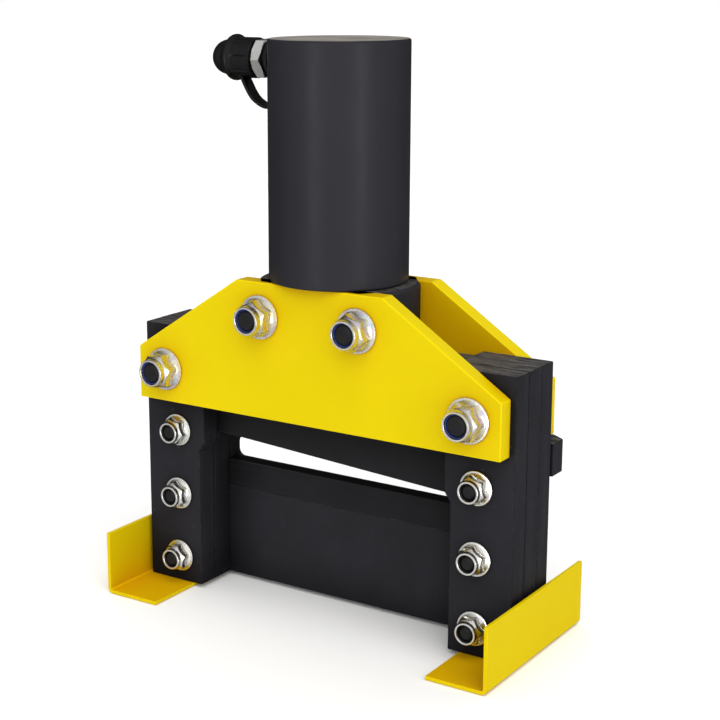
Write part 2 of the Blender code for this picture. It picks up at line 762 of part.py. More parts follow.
def build_return_spring():
    """The spring round the rod, between the neck's end and the piston."""
    mean_radius, wire_radius, turns = 0.0247, 0.0024, 7.85
    ends = ((0, 0, NECK_TOP + GAP), (0, 0, PISTON_LOW - GAP))
    coil("return_spring", mean_radius, wire_radius, turns, *ends, (0, 0, 1), 12, 5, "spring_steel")


# The coupler and its dust cap, along X from the cylinder's wall outwards.
COLLAR = -CYLINDER_RADIUS - 0.0006
COLLAR_END = -0.0496
COLLAR_RADIUS = 0.0105
GROOVE_RADIUS = 0.0078  # of the adapter, where the strap's ring sits
HEX_INNER = -0.0550
HEX_OUTER = -0.0632
HEX_HALF_FLATS = 0.0125
NOSE_END = -0.0865
NOSE_RADIUS = 0.0098
OIL_WAY = 0.0030
CAP_RIM = -0.0645
CAP_INSIDE = -0.0875
CAP_WALL = 0.0101  # inner radius
CAP_RADIUS = 0.0138
BEAD_RADIUS = 0.0158
BEAD_X = -0.0834
DOME_RADIUS = 0.0120
DOME_X = -0.0893


def build_coupler(poppet_carrier):
    """The quick coupler at the cylinder's port: its axis runs along -X at the port's height."""
    place = (0, 0, PORT_Z)
    adapter = [
        (OIL_WAY, -0.030),
        (PORT_THREAD, -0.030),
        (PORT_THREAD, COLLAR),
        (COLLAR_RADIUS, COLLAR),
        (COLLAR_RADIUS, COLLAR_END),
        (GROOVE_RADIUS, COLLAR_END),
        (GROOVE_RADIUS, HEX_INNER + GAP),
        (OIL_WAY, HEX_INNER + GAP),
    ]
    turned("port_adapter", adapter, "X", "dark_bolt", place, 18)
    flats, corner_cut, seat, bore = HEX_HALF_FLATS, 0.0012, -0.070, 0.0044
    body = [
        (OIL_WAY, HEX_INNER),
        (flats * 0.96, HEX_INNER),
        (flats, HEX_INNER - corner_cut, 1),
        (flats, HEX_OUTER + corner_cut, 1),
        (flats * 0.96, HEX_OUTER),
        (NOSE_RADIUS, HEX_OUTER),
        (NOSE_RADIUS, NOSE_END + 0.001),
        (NOSE_RADIUS - 0.001, NOSE_END),
        (bore, NOSE_END),
        (bore, seat),
        (OIL_WAY, seat),
    ]
    turned("coupler_body", body, "X", "nickel", place, 12, hexagon)
    poppet = [(0, -0.0862), (0.0026, -0.0862), (0.0040, -0.0840), (0.0040, -0.0815), (0, -0.0815)]
    turned("coupler_poppet", poppet, "X", "nickel", (0, 0, 0), SMALL_ROUND).parent = poppet_carrier
    ends = ((seat - GAP, 0, PORT_Z), (-0.0812, 0, PORT_Z))
    mean_radius, wire_radius, turns = 0.0034, 0.0004, 4
    coil("poppet_spring", mean_radius, wire_radius, turns, *ends, (-1, 0, 0), 8, 4, "spring_steel")


def build_dust_cap(carrier):
    """The rubber cap over the coupler's nose: a barrel, a round bead, and a domed end."""
    half_bead = 0.0024
    bead = [
        (CAP_RADIUS, BEAD_X + half_bead),
        (BEAD_RADIUS - 0.0005, BEAD_X + half_bead * 0.6),
        (BEAD_RADIUS, BEAD_X),
        (BEAD_RADIUS - 0.0005, BEAD_X - half_bead * 0.6),
        (CAP_RADIUS, BEAD_X - half_bead),
        (DOME_RADIUS + 0.0006, BEAD_X - half_bead - 0.0014),
    ]
    angles = [math.radians(a) for a in (0, 20, 40, 60, 80)]
    dome = [(DOME_RADIUS * math.cos(a), DOME_X - DOME_RADIUS * math.sin(a)) for a in angles]
    rings = [(0, CAP_INSIDE), (CAP_WALL, CAP_INSIDE), (CAP_WALL, CAP_RIM), (CAP_RADIUS - 0.0006, CAP_RIM)]
    rings += [(CAP_RADIUS, CAP_RIM - 0.0008)] + bead + dome + [(0, DOME_X - DOME_RADIUS)]
    turned("dust_cap", rings, "X", "rubber", (0, 0, 0), 24).parent = carrier


STRAP_WIDTH = 0.0105
STRAP_THICKNESS = 0.0024
STRAP_ROUTE = [
    (-0.0757, 0.3690),
    (-0.0720, 0.3624),
    (-0.0680, 0.3571),
    (-0.0638, 0.3541),
    (-0.0596, 0.3520),
    (-0.0555, 0.3514),
    (-0.0526, 0.3532),
    (-0.0515, 0.3575),
    (-0.0514, 0.3635),
    (-0.0517, 0.3722),
]
RING_X = (-0.0503, -0.0531)
RING_RADIUS = 0.0128


def build_strap():
    """The dust cap's rubber strap: a band that hangs in a loop, with a ring round the adapter's groove."""
    points = [Vector((x, 0, z)) for x, z in STRAP_ROUTE]
    strap = tube_along("dust_cap_strap", points, Band(STRAP_WIDTH, STRAP_THICKNESS), "rubber")
    inner = GROOVE_RADIUS + 0.0005
    ring = [(inner, RING_X[0]), (RING_RADIUS, RING_X[0]), (RING_RADIUS, RING_X[1]), (inner, RING_X[1])]
    loop = turned("strap_ring", ring, "X", "rubber", (0, 0, PORT_Z), 18)
    combine(strap, loop, "UNION")


def carrier_empty(name, location):
    empty = bpy.data.objects.new(name, None)
    bpy.context.scene.collection.objects.link(empty)
    empty.location = location
    return empty


def main():
    clear_scene()
    ram_carrier = carrier_empty("ram_carrier", (0, 0, 0))
    cap_carrier = carrier_empty("cap_carrier", (0, 0, PORT_Z))
    poppet_carrier = carrier_empty("poppet_carrier", (0, 0, PORT_Z))
    build_columns()
    build_back_plate()
    build_fixed_blade()
    build_back_bar()
    build_side_plates()
    build_fasteners()
    build_feet()
    build_cylinder()
    build_seat()
    build_gland()
    build_ram(ram_carrier)
    build_crosshead(ram_carrier)
    build_return_spring()
    build_coupler(poppet_carrier)
    build_dust_cap(cap_carrier)
    build_strap()


main()
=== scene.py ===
import math

import bmesh
import bpy
from mathutils import Matrix, Vector


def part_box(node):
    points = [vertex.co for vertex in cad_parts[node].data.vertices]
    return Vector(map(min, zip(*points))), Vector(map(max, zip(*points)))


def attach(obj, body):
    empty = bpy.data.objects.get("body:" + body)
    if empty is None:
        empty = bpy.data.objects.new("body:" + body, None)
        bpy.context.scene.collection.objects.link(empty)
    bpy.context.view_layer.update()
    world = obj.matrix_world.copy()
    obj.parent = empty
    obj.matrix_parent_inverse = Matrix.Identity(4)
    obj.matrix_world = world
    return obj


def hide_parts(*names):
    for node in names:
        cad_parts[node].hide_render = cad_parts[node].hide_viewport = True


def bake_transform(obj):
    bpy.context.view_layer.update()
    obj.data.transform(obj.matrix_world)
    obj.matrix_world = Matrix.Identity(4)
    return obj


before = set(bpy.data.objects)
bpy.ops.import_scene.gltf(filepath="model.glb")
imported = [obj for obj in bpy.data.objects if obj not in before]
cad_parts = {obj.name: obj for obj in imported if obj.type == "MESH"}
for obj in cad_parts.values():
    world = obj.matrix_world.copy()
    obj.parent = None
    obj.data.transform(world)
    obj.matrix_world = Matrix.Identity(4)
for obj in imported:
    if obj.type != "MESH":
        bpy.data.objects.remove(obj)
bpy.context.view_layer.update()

# The looks of a hydraulic flat-bar cutter. Units are metres and +Z is up; each piece is built where its CAD
# node lies, from that node's box, with finer shapes and procedural materials.

SECTOR = math.pi / 3  # one side of a hexagon

# Camera: where it stands, and how it is turned about Z, tilted down and rolled, in degrees.
CAMERA_PLACE = (0.5809, -0.8991, 0.4444)
CAMERA_TURN, CAMERA_TILT, CAMERA_ROLL = 34.15, 12.9, -0.19
CAMERA_LENS = 80.3
CAMERA_SHIFT = (0.0783, -0.0356)

# Shapes that a box can't tell.
PASS_HALF_WIDTH = 0.1025  # between the columns, where the bar passes
SHOULDER = (0.1048, 0.1118)  # where a column widens to guide the blade
SLOT_HALF_WIDTH, SLOT_FLOOR, SLOT_RADIUS = 0.104, 0.0895, 0.0055
SLOT_ROOFS = (0.1045, 0.1125)  # at the back face, and at the face towards the moving blade
BRIDGE_TOP = 0.1415
BLADE_EDGE = (0.1168, 0.1044)  # height of the moving blade's edge at its left and right end
PLATE_SHOULDER, PLATE_TOP_HALF_WIDTH = 0.1806, 0.0578
BORE_RADIUS, BORE_TOP, NECK_RADIUS, NECK_TOP = 0.030, 0.376, 0.0358, 0.2623
FOOT_THICKNESS, FOOT_BEND = 0.0026, 0.0038
RELIEF_RADIUS = 0.0135
PORT_Z = 0.384

# Light: the world's even fill, and the power of the lamps.
WORLD_FILL, KEY_STRENGTH, BACK_STRENGTH, STRIP_POWER = 0.44, 2.5, 0.9, 6
REFLECTED_FROM, REFLECTED_RANGE = (0.556, -0.823, 0.12), (0.06, 1.15)

SIDES = 72  # round a turned piece; a multiple of 12, so that a hexagon's corners fall on it
CUTTER_SIDES = 48
SHARP_ANGLE = math.radians(35)  # faces that meet at a larger angle than this are shaded as a corner
PAST = 0.002  # how far a cutter reaches past a face
PLAY, THREAD_PLAY = 0.0003, 0.0002  # between a fastener or an insert and its hole
CENTRE = (0, 0, 0)
PORT_CENTRE = (0, 0, PORT_Z)

# How a point lies: its place across the axis in two parts, and then along it.
LAID_ALONG = {
    "X": lambda a, b, along: (along, a, b),
    "Y": lambda a, b, along: (a, along, b),
    "Z": lambda a, b, along: (a, b, along),
}

# Each fastener's radii, its hexagon or socket from side to middle, and the height of its head.
SMALL_BOLT = {"shank": 0.005, "flats": 0.008, "head_height": 0.0064}
LARGE_BOLT = {"shank": 0.007, "flats": 0.0105, "head_height": 0.0088}
BAR_SCREW = {"shank": 0.004, "head": 0.0065, "head_height": 0.008, "socket": 0.003, "depth": 0.004}
BLADE_SCREW = {"shank": 0.005, "head": 0.008, "head_height": 0.0095, "socket": 0.004, "depth": 0.005}
RAM_SCREW = {**BLADE_SCREW, "head_height": 0.010}
SCREW_RADIUS = 0.003  # of the feet's and the lower blade's screws


# ---- materials


def add_node(tree, kind, **inputs):
    """A shader node with some of its inputs set."""
    node = tree.nodes.new(f"ShaderNode{kind}")
    for name, value in inputs.items():
        node.inputs[name].default_value = value
    return node


def map_range(tree, value, *numbers):
    """Maps a value's low and high, the first two numbers, to the other two."""
    node = add_node(tree, "MapRange")
    for socket, number in zip(list(node.inputs)[1:5], numbers):
        socket.default_value = number
    tree.links.new(value, node.inputs["Value"])
    return node.outputs["Result"]


def scaled(color, share):
    return tuple(c * share for c in color)


class Finish:
    """A material whose nodes are wired by short calls. Every texture reads object coordinates, in metres."""

    def __init__(self, roughness, metallic=0.0, specular=0.5):
        self.material = bpy.data.materials.new("finish")
        self.material.use_nodes = True
        self.tree = self.material.node_tree
        self.shader = self.tree.nodes["Principled BSDF"]
        self.shader.inputs["Roughness"].default_value = roughness
        self.shader.inputs["Metallic"].default_value = metallic
        self.shader.inputs["Specular IOR Level"].default_value = specular
        self.place = self.node("TexCoord").outputs["Object"]

    def node(self, kind, **inputs):
        return add_node(self.tree, kind, **inputs)

    def link(self, source, target):
        self.tree.links.new(source, target)

    def feed(self, value, socket):
        """Sets a number or a colour on the socket, and links anything else to it."""
        if isinstance(value, (int, float)):
            socket.default_value = value
        elif isinstance(value, tuple):
            socket.default_value = (*value, 1.0)
        else:
            self.link(value, socket)

    def texture(self, kind, stretch, **inputs):
        node = self.node(kind, **inputs)
        mapping = self.node("Mapping", Scale=stretch)
        self.link(self.place, mapping.inputs["Vector"])
        self.link(mapping.outputs["Vector"], node.inputs["Vector"])
        return node

    def noise(self, scale, detail=4.0, stretch=(1, 1, 1), roughness=0.55, distortion=0.0):
        inputs = {"Scale": scale, "Detail": detail, "Roughness": roughness, "Distortion": distortion}
        return self.texture("TexNoise", stretch, **inputs).outputs["Fac"]

    def cells(self, scale):
        return self.texture("TexVoronoi", (1, 1, 1), Scale=scale).outputs["Distance"]

    def part(self, index, vector=None):
        """One coordinate of the vector, or else of the place: 0 for X to 2 for Z."""
        node = self.node("SeparateXYZ")
        self.link(vector or self.place, node.inputs["Vector"])
        return node.outputs[index]

    def facing(self, index):
        """How far the surface faces along an axis, either way, from 0 to 1."""
        return self.math("ABSOLUTE", self.part(index, self.node("NewGeometry").outputs["Normal"]))

    def recess(self, distance, shallow, deep, only_local=False):
        """From 0 in the open to 1 deep in a corner, told by how much of the surroundings is covered. The
        finishes use it to paint shade into their corners.
        """
        node = self.node("AmbientOcclusion", Distance=distance)
        node.samples = 8
        node.only_local = only_local
        return self.span(node.outputs["AO"], deep, shallow)

    def math(self, operation, first, second=0.0):
        node = self.node("Math")
        node.operation = operation
        node.use_clamp = operation in ("MULTIPLY", "ADD")
        for value, socket in zip((first, second), node.inputs):
            self.feed(value, socket)
        return node.outputs[0]

    def span(self, value, low, high, out_low=0.0, out_high=1.0):
        return map_range(self.tree, value, low, high, out_low, out_high)

    def ramp(self, value, *stops):
        """A colour ramp of (position, colour) stops."""
        node = self.node("ValToRGB")
        while len(node.color_ramp.elements) < len(stops):
            node.color_ramp.elements.new(0.5)
        for element, (position, color) in zip(node.color_ramp.elements, stops):
            element.position = position
            element.color = (*color, 1.0)
        self.link(value, node.inputs["Fac"])
        return node.outputs["Color"]

    def mix(self, share, first, second):
        node = self.node("Mix")
        node.data_type = "RGBA"
        colors = [socket for socket in node.inputs if socket.type == "RGBA"]
        for value, socket in zip((share, first, second), (node.inputs[0], *colors)):
            self.feed(value, socket)
        return [socket for socket in node.outputs if socket.type == "RGBA"][0]

    def color(self, source):
        self.link(source, self.shader.inputs["Base Color"])

    def roughness(self, texture, low, high):
        self.link(self.span(texture, 0.3, 0.7, low, high), self.shader.inputs["Roughness"])

    def bump(self, *layers):
        """Layers of (height, distance in metres), from the broadest to the finest."""
        normal = None
        for height, distance in layers:
            node = self.node("Bump", Strength=1.0, Distance=distance)
            self.link(height, node.inputs["Height"])
            if normal is not None:
                self.link(normal, node.inputs["Normal"])
            normal = node.outputs["Normal"]
        self.link(normal, self.shader.inputs["Normal"])


def yellow_paint(tint, roughness, only_local=False, floor_shade_share=0.0):
    """Powder coat: an orange-peel skin, with painted shade, a darker orange, in the corners and on upward
    faces near the floor, and faint dust.
    """
    made = Finish(roughness, specular=0.04)
    r, g, b = tint
    clouds = made.noise(9, 3)
    base = made.ramp(clouds, (0.3, (r * 0.97, g * 0.96, b)), (0.7, (r, g, b)))
    # Painted shade: upward faces near the floor turn a darker orange.
    near_floor = made.span(made.part(2), 0.004, 0.008, floor_shade_share, 0.0)
    floor_shade_mask = made.math("MULTIPLY", made.span(made.facing(2), 0.6, 0.95), near_floor)
    base = made.mix(floor_shade_mask, base, (r * 0.96, g * 0.62, b))
    # Painted shade: corners turn a darker, deeper orange.
    deep = made.mix(made.recess(0.05, 0.5, 0.98, only_local), base, (r * 0.92, g * 0.64, b))
    dust = made.span(made.noise(55, 6, roughness=0.7), 0.58, 0.82, 0.0, 0.12)
    made.color(made.mix(dust, deep, (r * 0.78, g * 0.7, b + 0.012)))
    made.roughness(made.noise(30, 5), roughness - 0.06, roughness + 0.08)
    made.bump((made.noise(420, 2), 0.00004), (made.noise(1500, 2), 0.00001))
    return made.material


def black_steel(base, lighter_tone, wear):
    """Black-oxided plate: nearly even, with faint mill lines down its sides and rubbed, stained tops."""
    made = Finish(0.44, specular=0.04)
    mottle = made.noise(26, 6, roughness=0.65)
    plain = made.ramp(mottle, (0.3, scaled(base, 0.86)), (0.72, scaled(base, 1.16)))
    # Painted shade: darker in corners and recesses.
    plain = made.mix(made.recess(0.04, 0.4, 0.95), plain, scaled(base, 0.3))
    side_lines = made.noise(240, 3, stretch=(1, 1, 0.03))
    side_share = made.math("MULTIPLY", made.span(side_lines, 0.5, 0.8), made.span(made.facing(0), 0.7, 0.95))
    streaks = made.noise(520, 6, stretch=(0.12, 1, 1), roughness=0.8)
    top_share = made.math("MULTIPLY", made.span(streaks, 0.4, 0.66), made.span(made.facing(2), 0.7, 0.95))
    share = made.math("ADD", made.math("MULTIPLY", side_share, 0.07), top_share)
    specks = made.span(made.noise(330, 2), 0.72, 0.8, 0.0, 0.35)
    share = made.math("ADD", share, specks)
    rubbed = made.span(made.noise(120, 5, roughness=0.7), 0.5, 0.7, 0.0, wear)
    made.color(made.mix(made.math("ADD", share, rubbed), plain, lighter_tone))
    made.roughness(made.noise(60, 6), 0.38, 0.54)
    made.bump((made.noise(90, 4), 0.00004), (side_lines, 0.00001), (made.noise(1300, 3), 0.00001))
    return made.material


def tool_steel(base, bright, share):
    """A blade: dark, with the fine lines of the grinder along its length."""
    made = Finish(0.44, specular=0.04)
    lines = made.noise(900, 3, stretch=(0.02, 1, 1))
    clouds = made.noise(24, 5)
    plain = made.ramp(clouds, (0.3, scaled(base, 0.88)), (0.7, scaled(base, 1.14)))
    # Painted shade: darker in corners and recesses.
    plain = made.mix(made.recess(0.04, 0.4, 0.95), plain, scaled(base, 0.3))
    made.color(made.mix(made.span(lines, 0.5, 0.75, 0.0, share), plain, bright))
    made.roughness(lines, 0.36, 0.5)
    made.bump((lines, 0.000008), (made.noise(1400, 2), 0.000008))
    return made.material


def cylinder_black(top):
    """The cylinder: satin black with the marks of the lathe round it, and painted light on its turned end, a
    much lighter grey in patchy tones.
    """
    made = Finish(0.36, specular=0.16)
    clouds = made.noise(13, 5, stretch=(1, 1, 0.35), roughness=0.6)
    dark, middle, light = (0.0155, 0.0150, 0.0190), (0.0180, 0.0175, 0.0225), (0.0215, 0.0210, 0.0260)
    base = made.ramp(clouds, (0.28, dark), (0.55, middle), (0.78, light))
    # Painted light: the turned end is painted a much lighter grey than the sides, with patchy tones.
    grimy_lit_top, bare_lit_top = (0.215, 0.19, 0.168), (0.40, 0.37, 0.335)
    lighter_tone = made.ramp(made.noise(40, 6, roughness=0.7), (0.3, grimy_lit_top), (0.7, bare_lit_top))
    is_top = made.math("MULTIPLY", made.facing(2), made.span(made.part(2), top - 0.0013, top - 0.0007))
    made.color(made.mix(made.span(is_top, 0.85, 0.97, 0.0, 0.9), base, lighter_tone))
    scuffs = made.noise(120, 5, stretch=(1, 1, 0.3), roughness=0.7)
    made.roughness(scuffs, 0.33, 0.45)
    lathe = made.noise(2200, 2, stretch=(0.01, 0.01, 1))
    made.bump((made.noise(60, 3), 0.00002), (lathe, 0.000005), (scuffs, 0.000008))
    return made.material


def plating(stops, roughness, patch_scale, spread=0.08):
    """Bright plating on a fastener, tinted in patches where the passivation is thicker."""
    made = Finish(roughness, metallic=1.0)
    patches = made.noise(patch_scale, 3, distortion=0.8)
    made.color(made.ramp(patches, *stops))
    smears = made.noise(patch_scale * 3.3, 4, roughness=0.7)
    made.roughness(smears, roughness - spread / 2, roughness + spread)
    made.bump((made.noise(700, 3), 0.00002), (made.noise(2600, 2), 0.000006))
    return made.material


def oxide(base):
    """Dark oxide on a bolt, with bright specks where it is rubbed."""
    made = Finish(0.4, metallic=0.05, specular=0.2)
    tone = made.ramp(made.noise(160, 5, roughness=0.65), (0.3, base), (0.75, scaled(base, 2.0)))
    rubbed = made.span(made.noise(520, 3), 0.68, 0.78, 0.0, 0.3)
    made.color(made.mix(rubbed, tone, (0.16, 0.155, 0.15)))
    made.roughness(made.noise(300, 4), 0.3, 0.5)
    made.bump((made.noise(600, 4), 0.00003),)
    return made.material


def moulded(base, roughness, grain, specular=0.5):
    """Moulded rubber or plastic: even, with a fine grain and slightly duller patches."""
    made = Finish(roughness, specular=specular)
    clouds = made.noise(70, 4)
    made.color(made.ramp(clouds, (0.3, scaled(base, 0.75)), (0.7, scaled(base, 1.3))))
    made.roughness(made.noise(160, 5), roughness - 0.07, roughness + 0.1)
    made.bump((made.cells(grain), 0.000012), (made.noise(180, 3), 0.00003))
    return made.material


def turned_metal(base, roughness, axis, tarnish=0.85):
    """Bare machined metal with fine turning marks across the axis."""
    made = Finish(roughness, metallic=1.0)
    stretch = tuple(1.0 if i == axis else 0.01 for i in range(3))
    marks = made.noise(2600, 2, stretch=stretch)
    tone = made.noise(45, 5)
    made.color(made.ramp(tone, (0.3, scaled(base, tarnish)), (0.7, base)))
    made.roughness(marks, roughness * 0.8, roughness * 1.35)
    made.bump((marks, 0.000004), (made.noise(900, 2), 0.000004))
    return made.material


def pale_floor():
    made = Finish(0.9, specular=0.1)
    made.color(made.ramp(made.noise(3, 3), (0.3, (0.92, 0.92, 0.92)), (0.7, (0.94, 0.94, 0.94))))
    made.roughness(made.noise(40, 2), 0.85, 0.95)
    return made.material


def make_finishes():
    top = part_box("cylinder_body")[1].z
    silver, gold = (0.80, 0.80, 0.77), (0.74, 0.66, 0.42)
    rose, blue = (0.70, 0.60, 0.62), (0.58, 0.64, 0.74)
    tinted = ((0.30, silver), (0.42, gold), (0.50, silver), (0.58, rose), (0.66, blue), (0.78, silver))
    plain = ((0.30, (0.66, 0.66, 0.64)), (0.50, silver), (0.62, (0.78, 0.76, 0.70)), (0.75, silver))
    finishes = {
        "yellow_paint": yellow_paint((0.66, 0.518, 0.0012), 0.4),
        # The feet carry painted shade on their upward faces near the floor.
        "yellow_foot": yellow_paint((0.645, 0.49, 0.0012), 0.4, only_local=True, floor_shade_share=0.65),
        # Painted highlight: bevelled edges are a lighter yellow than the faces.
        "yellow_edge_highlight": yellow_paint((0.72, 0.565, 0.002), 0.34),
        "black_steel": black_steel((0.0205, 0.0198, 0.0238), (0.14, 0.130, 0.120), 0.0),
        # Painted shade: bevelled edges are darker, so the seams between plates read dark; the edges also
        # carry rubbed wear.
        "black_edge_shade_and_wear": black_steel((0.015, 0.0147, 0.017), (0.09, 0.085, 0.08), 0.2),
        "tool_steel": tool_steel((0.0150, 0.0146, 0.0165), (0.03, 0.03, 0.032), 0.15),
        # Painted highlight: the blades' bevelled edges are lighter than their faces, with grind lines.
        "ground_edge_highlight": tool_steel((0.04, 0.04, 0.042), (0.14, 0.14, 0.14), 0.4),
        "cylinder_black": cylinder_black(top),
        "zinc_large": plating(tinted, 0.24, 75),
        "zinc_small": plating(plain, 0.22, 60),
        "dark_bolt": oxide((0.0055, 0.0055, 0.0062)),
        "nylon": moulded((0.012, 0.027, 0.15), 0.24, 2500),
        "rubber": moulded((0.0042, 0.0042, 0.0045), 0.24, 1800, specular=0.2),
        "seal": moulded((0.02, 0.06, 0.035), 0.5, 2200),
        "nickel": turned_metal((0.95, 0.94, 0.91), 0.3, 0, tarnish=0.72),
        "chromed_rod": turned_metal((0.70, 0.70, 0.71), 0.14, 2, tarnish=0.94),
        "bronze": turned_metal((0.62, 0.40, 0.17), 0.32, 2),
        "spring_steel": turned_metal((0.22, 0.22, 0.235), 0.36, 2, tarnish=0.7),
        "pale_floor": pale_floor(),
    }
    for name, material in finishes.items():
        material.name = name
    return finishes


FINISHES = make_finishes()
# Bevelled edges take a second finish: lighter for painted highlights, darker for painted shade.
EDGES = {
    "yellow_paint": "yellow_edge_highlight",
    "yellow_foot": "yellow_edge_highlight",
    "black_steel": "black_edge_shade_and_wear",
    "tool_steel": "ground_edge_highlight",
}


# ---- meshes


def shade(mesh):
    mesh.shade_smooth()
    mesh.set_sharp_from_angle(angle=SHARP_ANGLE)


def added(name, data):
    """A new object of this data, in the scene."""
    obj = bpy.data.objects.new(name, data)
    bpy.context.scene.collection.objects.link(obj)
    return obj


def piece(name, build, finish):
    """An object from a bmesh, with its finish and a second finish for its edges."""
    bmesh.ops.recalc_face_normals(build, faces=build.faces)
    mesh = bpy.data.meshes.new(name)
    build.to_mesh(mesh)
    build.free()
    obj = added(name, mesh)
    mesh.materials.append(FINISHES[finish])
    mesh.materials.append(FINISHES[EDGES.get(finish, finish)])
    shade(mesh)
    return obj


def round_edges(obj, width):
    bevel = obj.modifiers.new("edges", "BEVEL")
    bevel.width = width
    bevel.segments = 3
    bevel.limit_method = "ANGLE"
    bevel.angle_limit = math.radians(20)
    bevel.material = 1


def carve(obj, cutters):
    for cutter in cutters:
        cut = obj.modifiers.new(cutter.name, "BOOLEAN")
        cut.operation = "DIFFERENCE"
        cut.solver = "EXACT"
        cut.object = cutter
    settle(obj)
    for cutter in cutters:
        bpy.data.objects.remove(cutter)


def settle(obj):
    """The object's mesh as its modifiers leave it, shaded by the size of its faces."""
    bpy.context.view_layer.update()
    graph = bpy.context.evaluated_depsgraph_get()
    mesh = bpy.data.meshes.new_from_object(obj.evaluated_get(graph), depsgraph=graph)
    obj.modifiers.clear()
    obj.data = mesh
    shade(mesh)
    obj.modifiers.new("normals", "WEIGHTED_NORMAL").keep_sharp = True


def place(obj, body, finish, *nodes):
    """The piece stands for these CAD nodes and rides on their body."""
    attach(obj, body)
    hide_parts(*nodes)


def lofted(name, rings, finish):
    """A solid whose skin joins rings of points, with a face over the first ring and over the last."""
    build = bmesh.new()
    rings = [[build.verts.new(point) for point in ring] for ring in rings]
    for near, far in zip(rings, rings[1:]):
        for i in range(len(near)):
            j = (i + 1) % len(near)
            build.faces.new((near[i], near[j], far[j], far[i]))
    build.faces.new(rings[0])
    build.faces.new(rings[-1])
    return piece(name, build, finish)


def slab(name, outline, axis, low, high, finish, bevel=0.0):
    """An outline, drawn in the two other directions, made thick from low to high along the axis."""
    rings = [[LAID_ALONG[axis](a, b, along) for a, b in outline] for along in (low, high)]
    obj = lofted(name, rings, finish)
    if bevel:
        round_edges(obj, bevel)
    return obj


def turned(name, rows, axis, centre, finish, sides=SIDES, turn=0.0):
    """A turned solid of rows (radius, distance along the axis). A radius may be a function of the angle. A
    radius of zero closes an end; rows with no zero at their ends close into a ring. Turn is in degrees."""
    build = bmesh.new()
    first, second = [value for value, letter in zip(centre, "XYZ") if letter != axis]
    loops = []
    for radius, along in rows:
        loop = []
        for i in range(1 if radius == 0 else sides):
            angle = 2 * math.pi * i / sides
            reach = radius(angle) if callable(radius) else radius
            a = first + reach * math.cos(angle + math.radians(turn))
            b = second + reach * math.sin(angle + math.radians(turn))
            loop.append(build.verts.new(LAID_ALONG[axis](a, b, along)))
        loops.append(loop)
    pairs = list(zip(loops, loops[1:]))
    if len(loops[0]) > 1 and len(loops[-1]) > 1:
        pairs.append((loops[-1], loops[0]))
    for near, far in pairs:
        for i in range(sides):
            j = (i + 1) % sides
            corners = [loop[k % len(loop)] for loop, k in ((near, i), (near, j), (far, j), (far, i))]
            build.faces.new(dict.fromkeys(corners))
    return piece(name, build, finish)


def softened(rows, width, steps=3):
    """The profile with each inner corner rounded by about this width."""
    points = [Vector(row) for row in rows]
    soft = [points[0]]
    for before, corner, after in zip(points, points[1:], points[2:]):
        room = min(width, (corner - before).length * 0.45, (after - corner).length * 0.45)
        start = corner + (before - corner).normalized() * room
        end = corner + (after - corner).normalized() * room
        for i in range(steps + 1):
            t = i / steps
            soft.append(start * (1 - t) ** 2 + corner * 2 * t * (1 - t) + end * t * t)
    soft.append(points[-1])
    return [(row.x, row.y) for row in soft]


def arc(centre, radius, start, end, steps):
    """Points of an arc from start to end, in degrees."""
    angles = [math.radians(start + (end - start) * i / steps) for i in range(steps + 1)]
    return [(centre[0] + radius * math.cos(a), centre[1] + radius * math.sin(a)) for a in angles]


def mirrored(outline, side):
    return [(side * a, b) for a, b in outline]


def rectangle(left, right, bottom, top):
    return [(left, bottom), (right, bottom), (right, top), (left, top)]


def hexagon(half_flats):
    return lambda angle: half_flats / math.cos((angle % SECTOR) - SECTOR / 2)


def narrowed(half_flats, radius):
    """A hexagon cut by a cone of this radius."""
    return lambda angle: min(hexagon(half_flats)(angle), radius)


def widened(half_flats, radius):
    """A hexagon that grows out of a flange of this radius."""
    return lambda angle: max(hexagon(half_flats)(angle), radius)


def chamfered(half_flats, first, last, start, end, steps):
    """Rows of a hexagon cut by a cone, which has radius first at start and last at end."""
    shares = [i / steps for i in range(steps + 1)]
    return [(narrowed(half_flats, first + (last - first) * t), start + (end - start) * t) for t in shares]


def sweep(name, points, section, square, finish):
    """A closed solid swept along points; square(forward) gives the section's two directions."""
    rings = []
    for i, point in enumerate(points):
        forward = (points[min(i + 1, len(points) - 1)] - points[max(i - 1, 0)]).normalized()
        across, normal = square(forward)
        rings.append([point + across * a + normal * b for a, b in section])
    return lofted(name, rings, finish)


def coil(name, mean_radius, wire_radius, turns, start, axis, length, finish, steps=36, sides=12):
    """A spring with flat end turns, from start along the axis."""
    start, axis = Vector(start), Vector(axis)
    side = Vector((0, 1, 0))
    up = axis.cross(side)
    flat = 0.9  # part of a turn that lies flat at each end
    count = int(turns * steps)
    points = []
    for i in range(count + 1):
        turn = turns * i / count
        climb = min(max((turn - flat) / (turns - 2 * flat), 0), 1)
        rise = wire_radius + (length - 2 * wire_radius) * climb
        angle = 2 * math.pi * turn
        radial = side * math.cos(angle) + up * math.sin(angle)
        points.append(start + axis * rise + radial * mean_radius)
    section = arc((0, 0), wire_radius, 0, 360 * (1 - 1 / sides), sides - 1)

    def square(forward):
        across = (axis - forward * axis.dot(forward)).normalized()
        return across, across.cross(forward)

    return sweep(name, points, section, square, finish)


def centre_of(node):
    low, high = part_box(node)
    return (low + high) / 2


def reach_of(node, axis):
    """Where a CAD node starts and ends along an axis."""
    index = "XYZ".index(axis)
    return [corner[index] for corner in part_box(node)]


def hole(centre, radius, low, high, axis="Y", sides=CUTTER_SIDES):
    rows = [(0, low), (radius, low), (radius, high), (0, high)]
    return turned("hole", rows, axis, centre, "dark_bolt", sides)


def stepped_hole(centre, near, step, far, end, axis):
    """A cutter of radius near as far as the step along its axis, and of radius far from there to its end."""
    rows = [(0, 0), (near, 0), (near, step), (far, step), (far, end), (0, end)]
    return turned("counterbore", rows, axis, centre, "dark_bolt", CUTTER_SIDES)


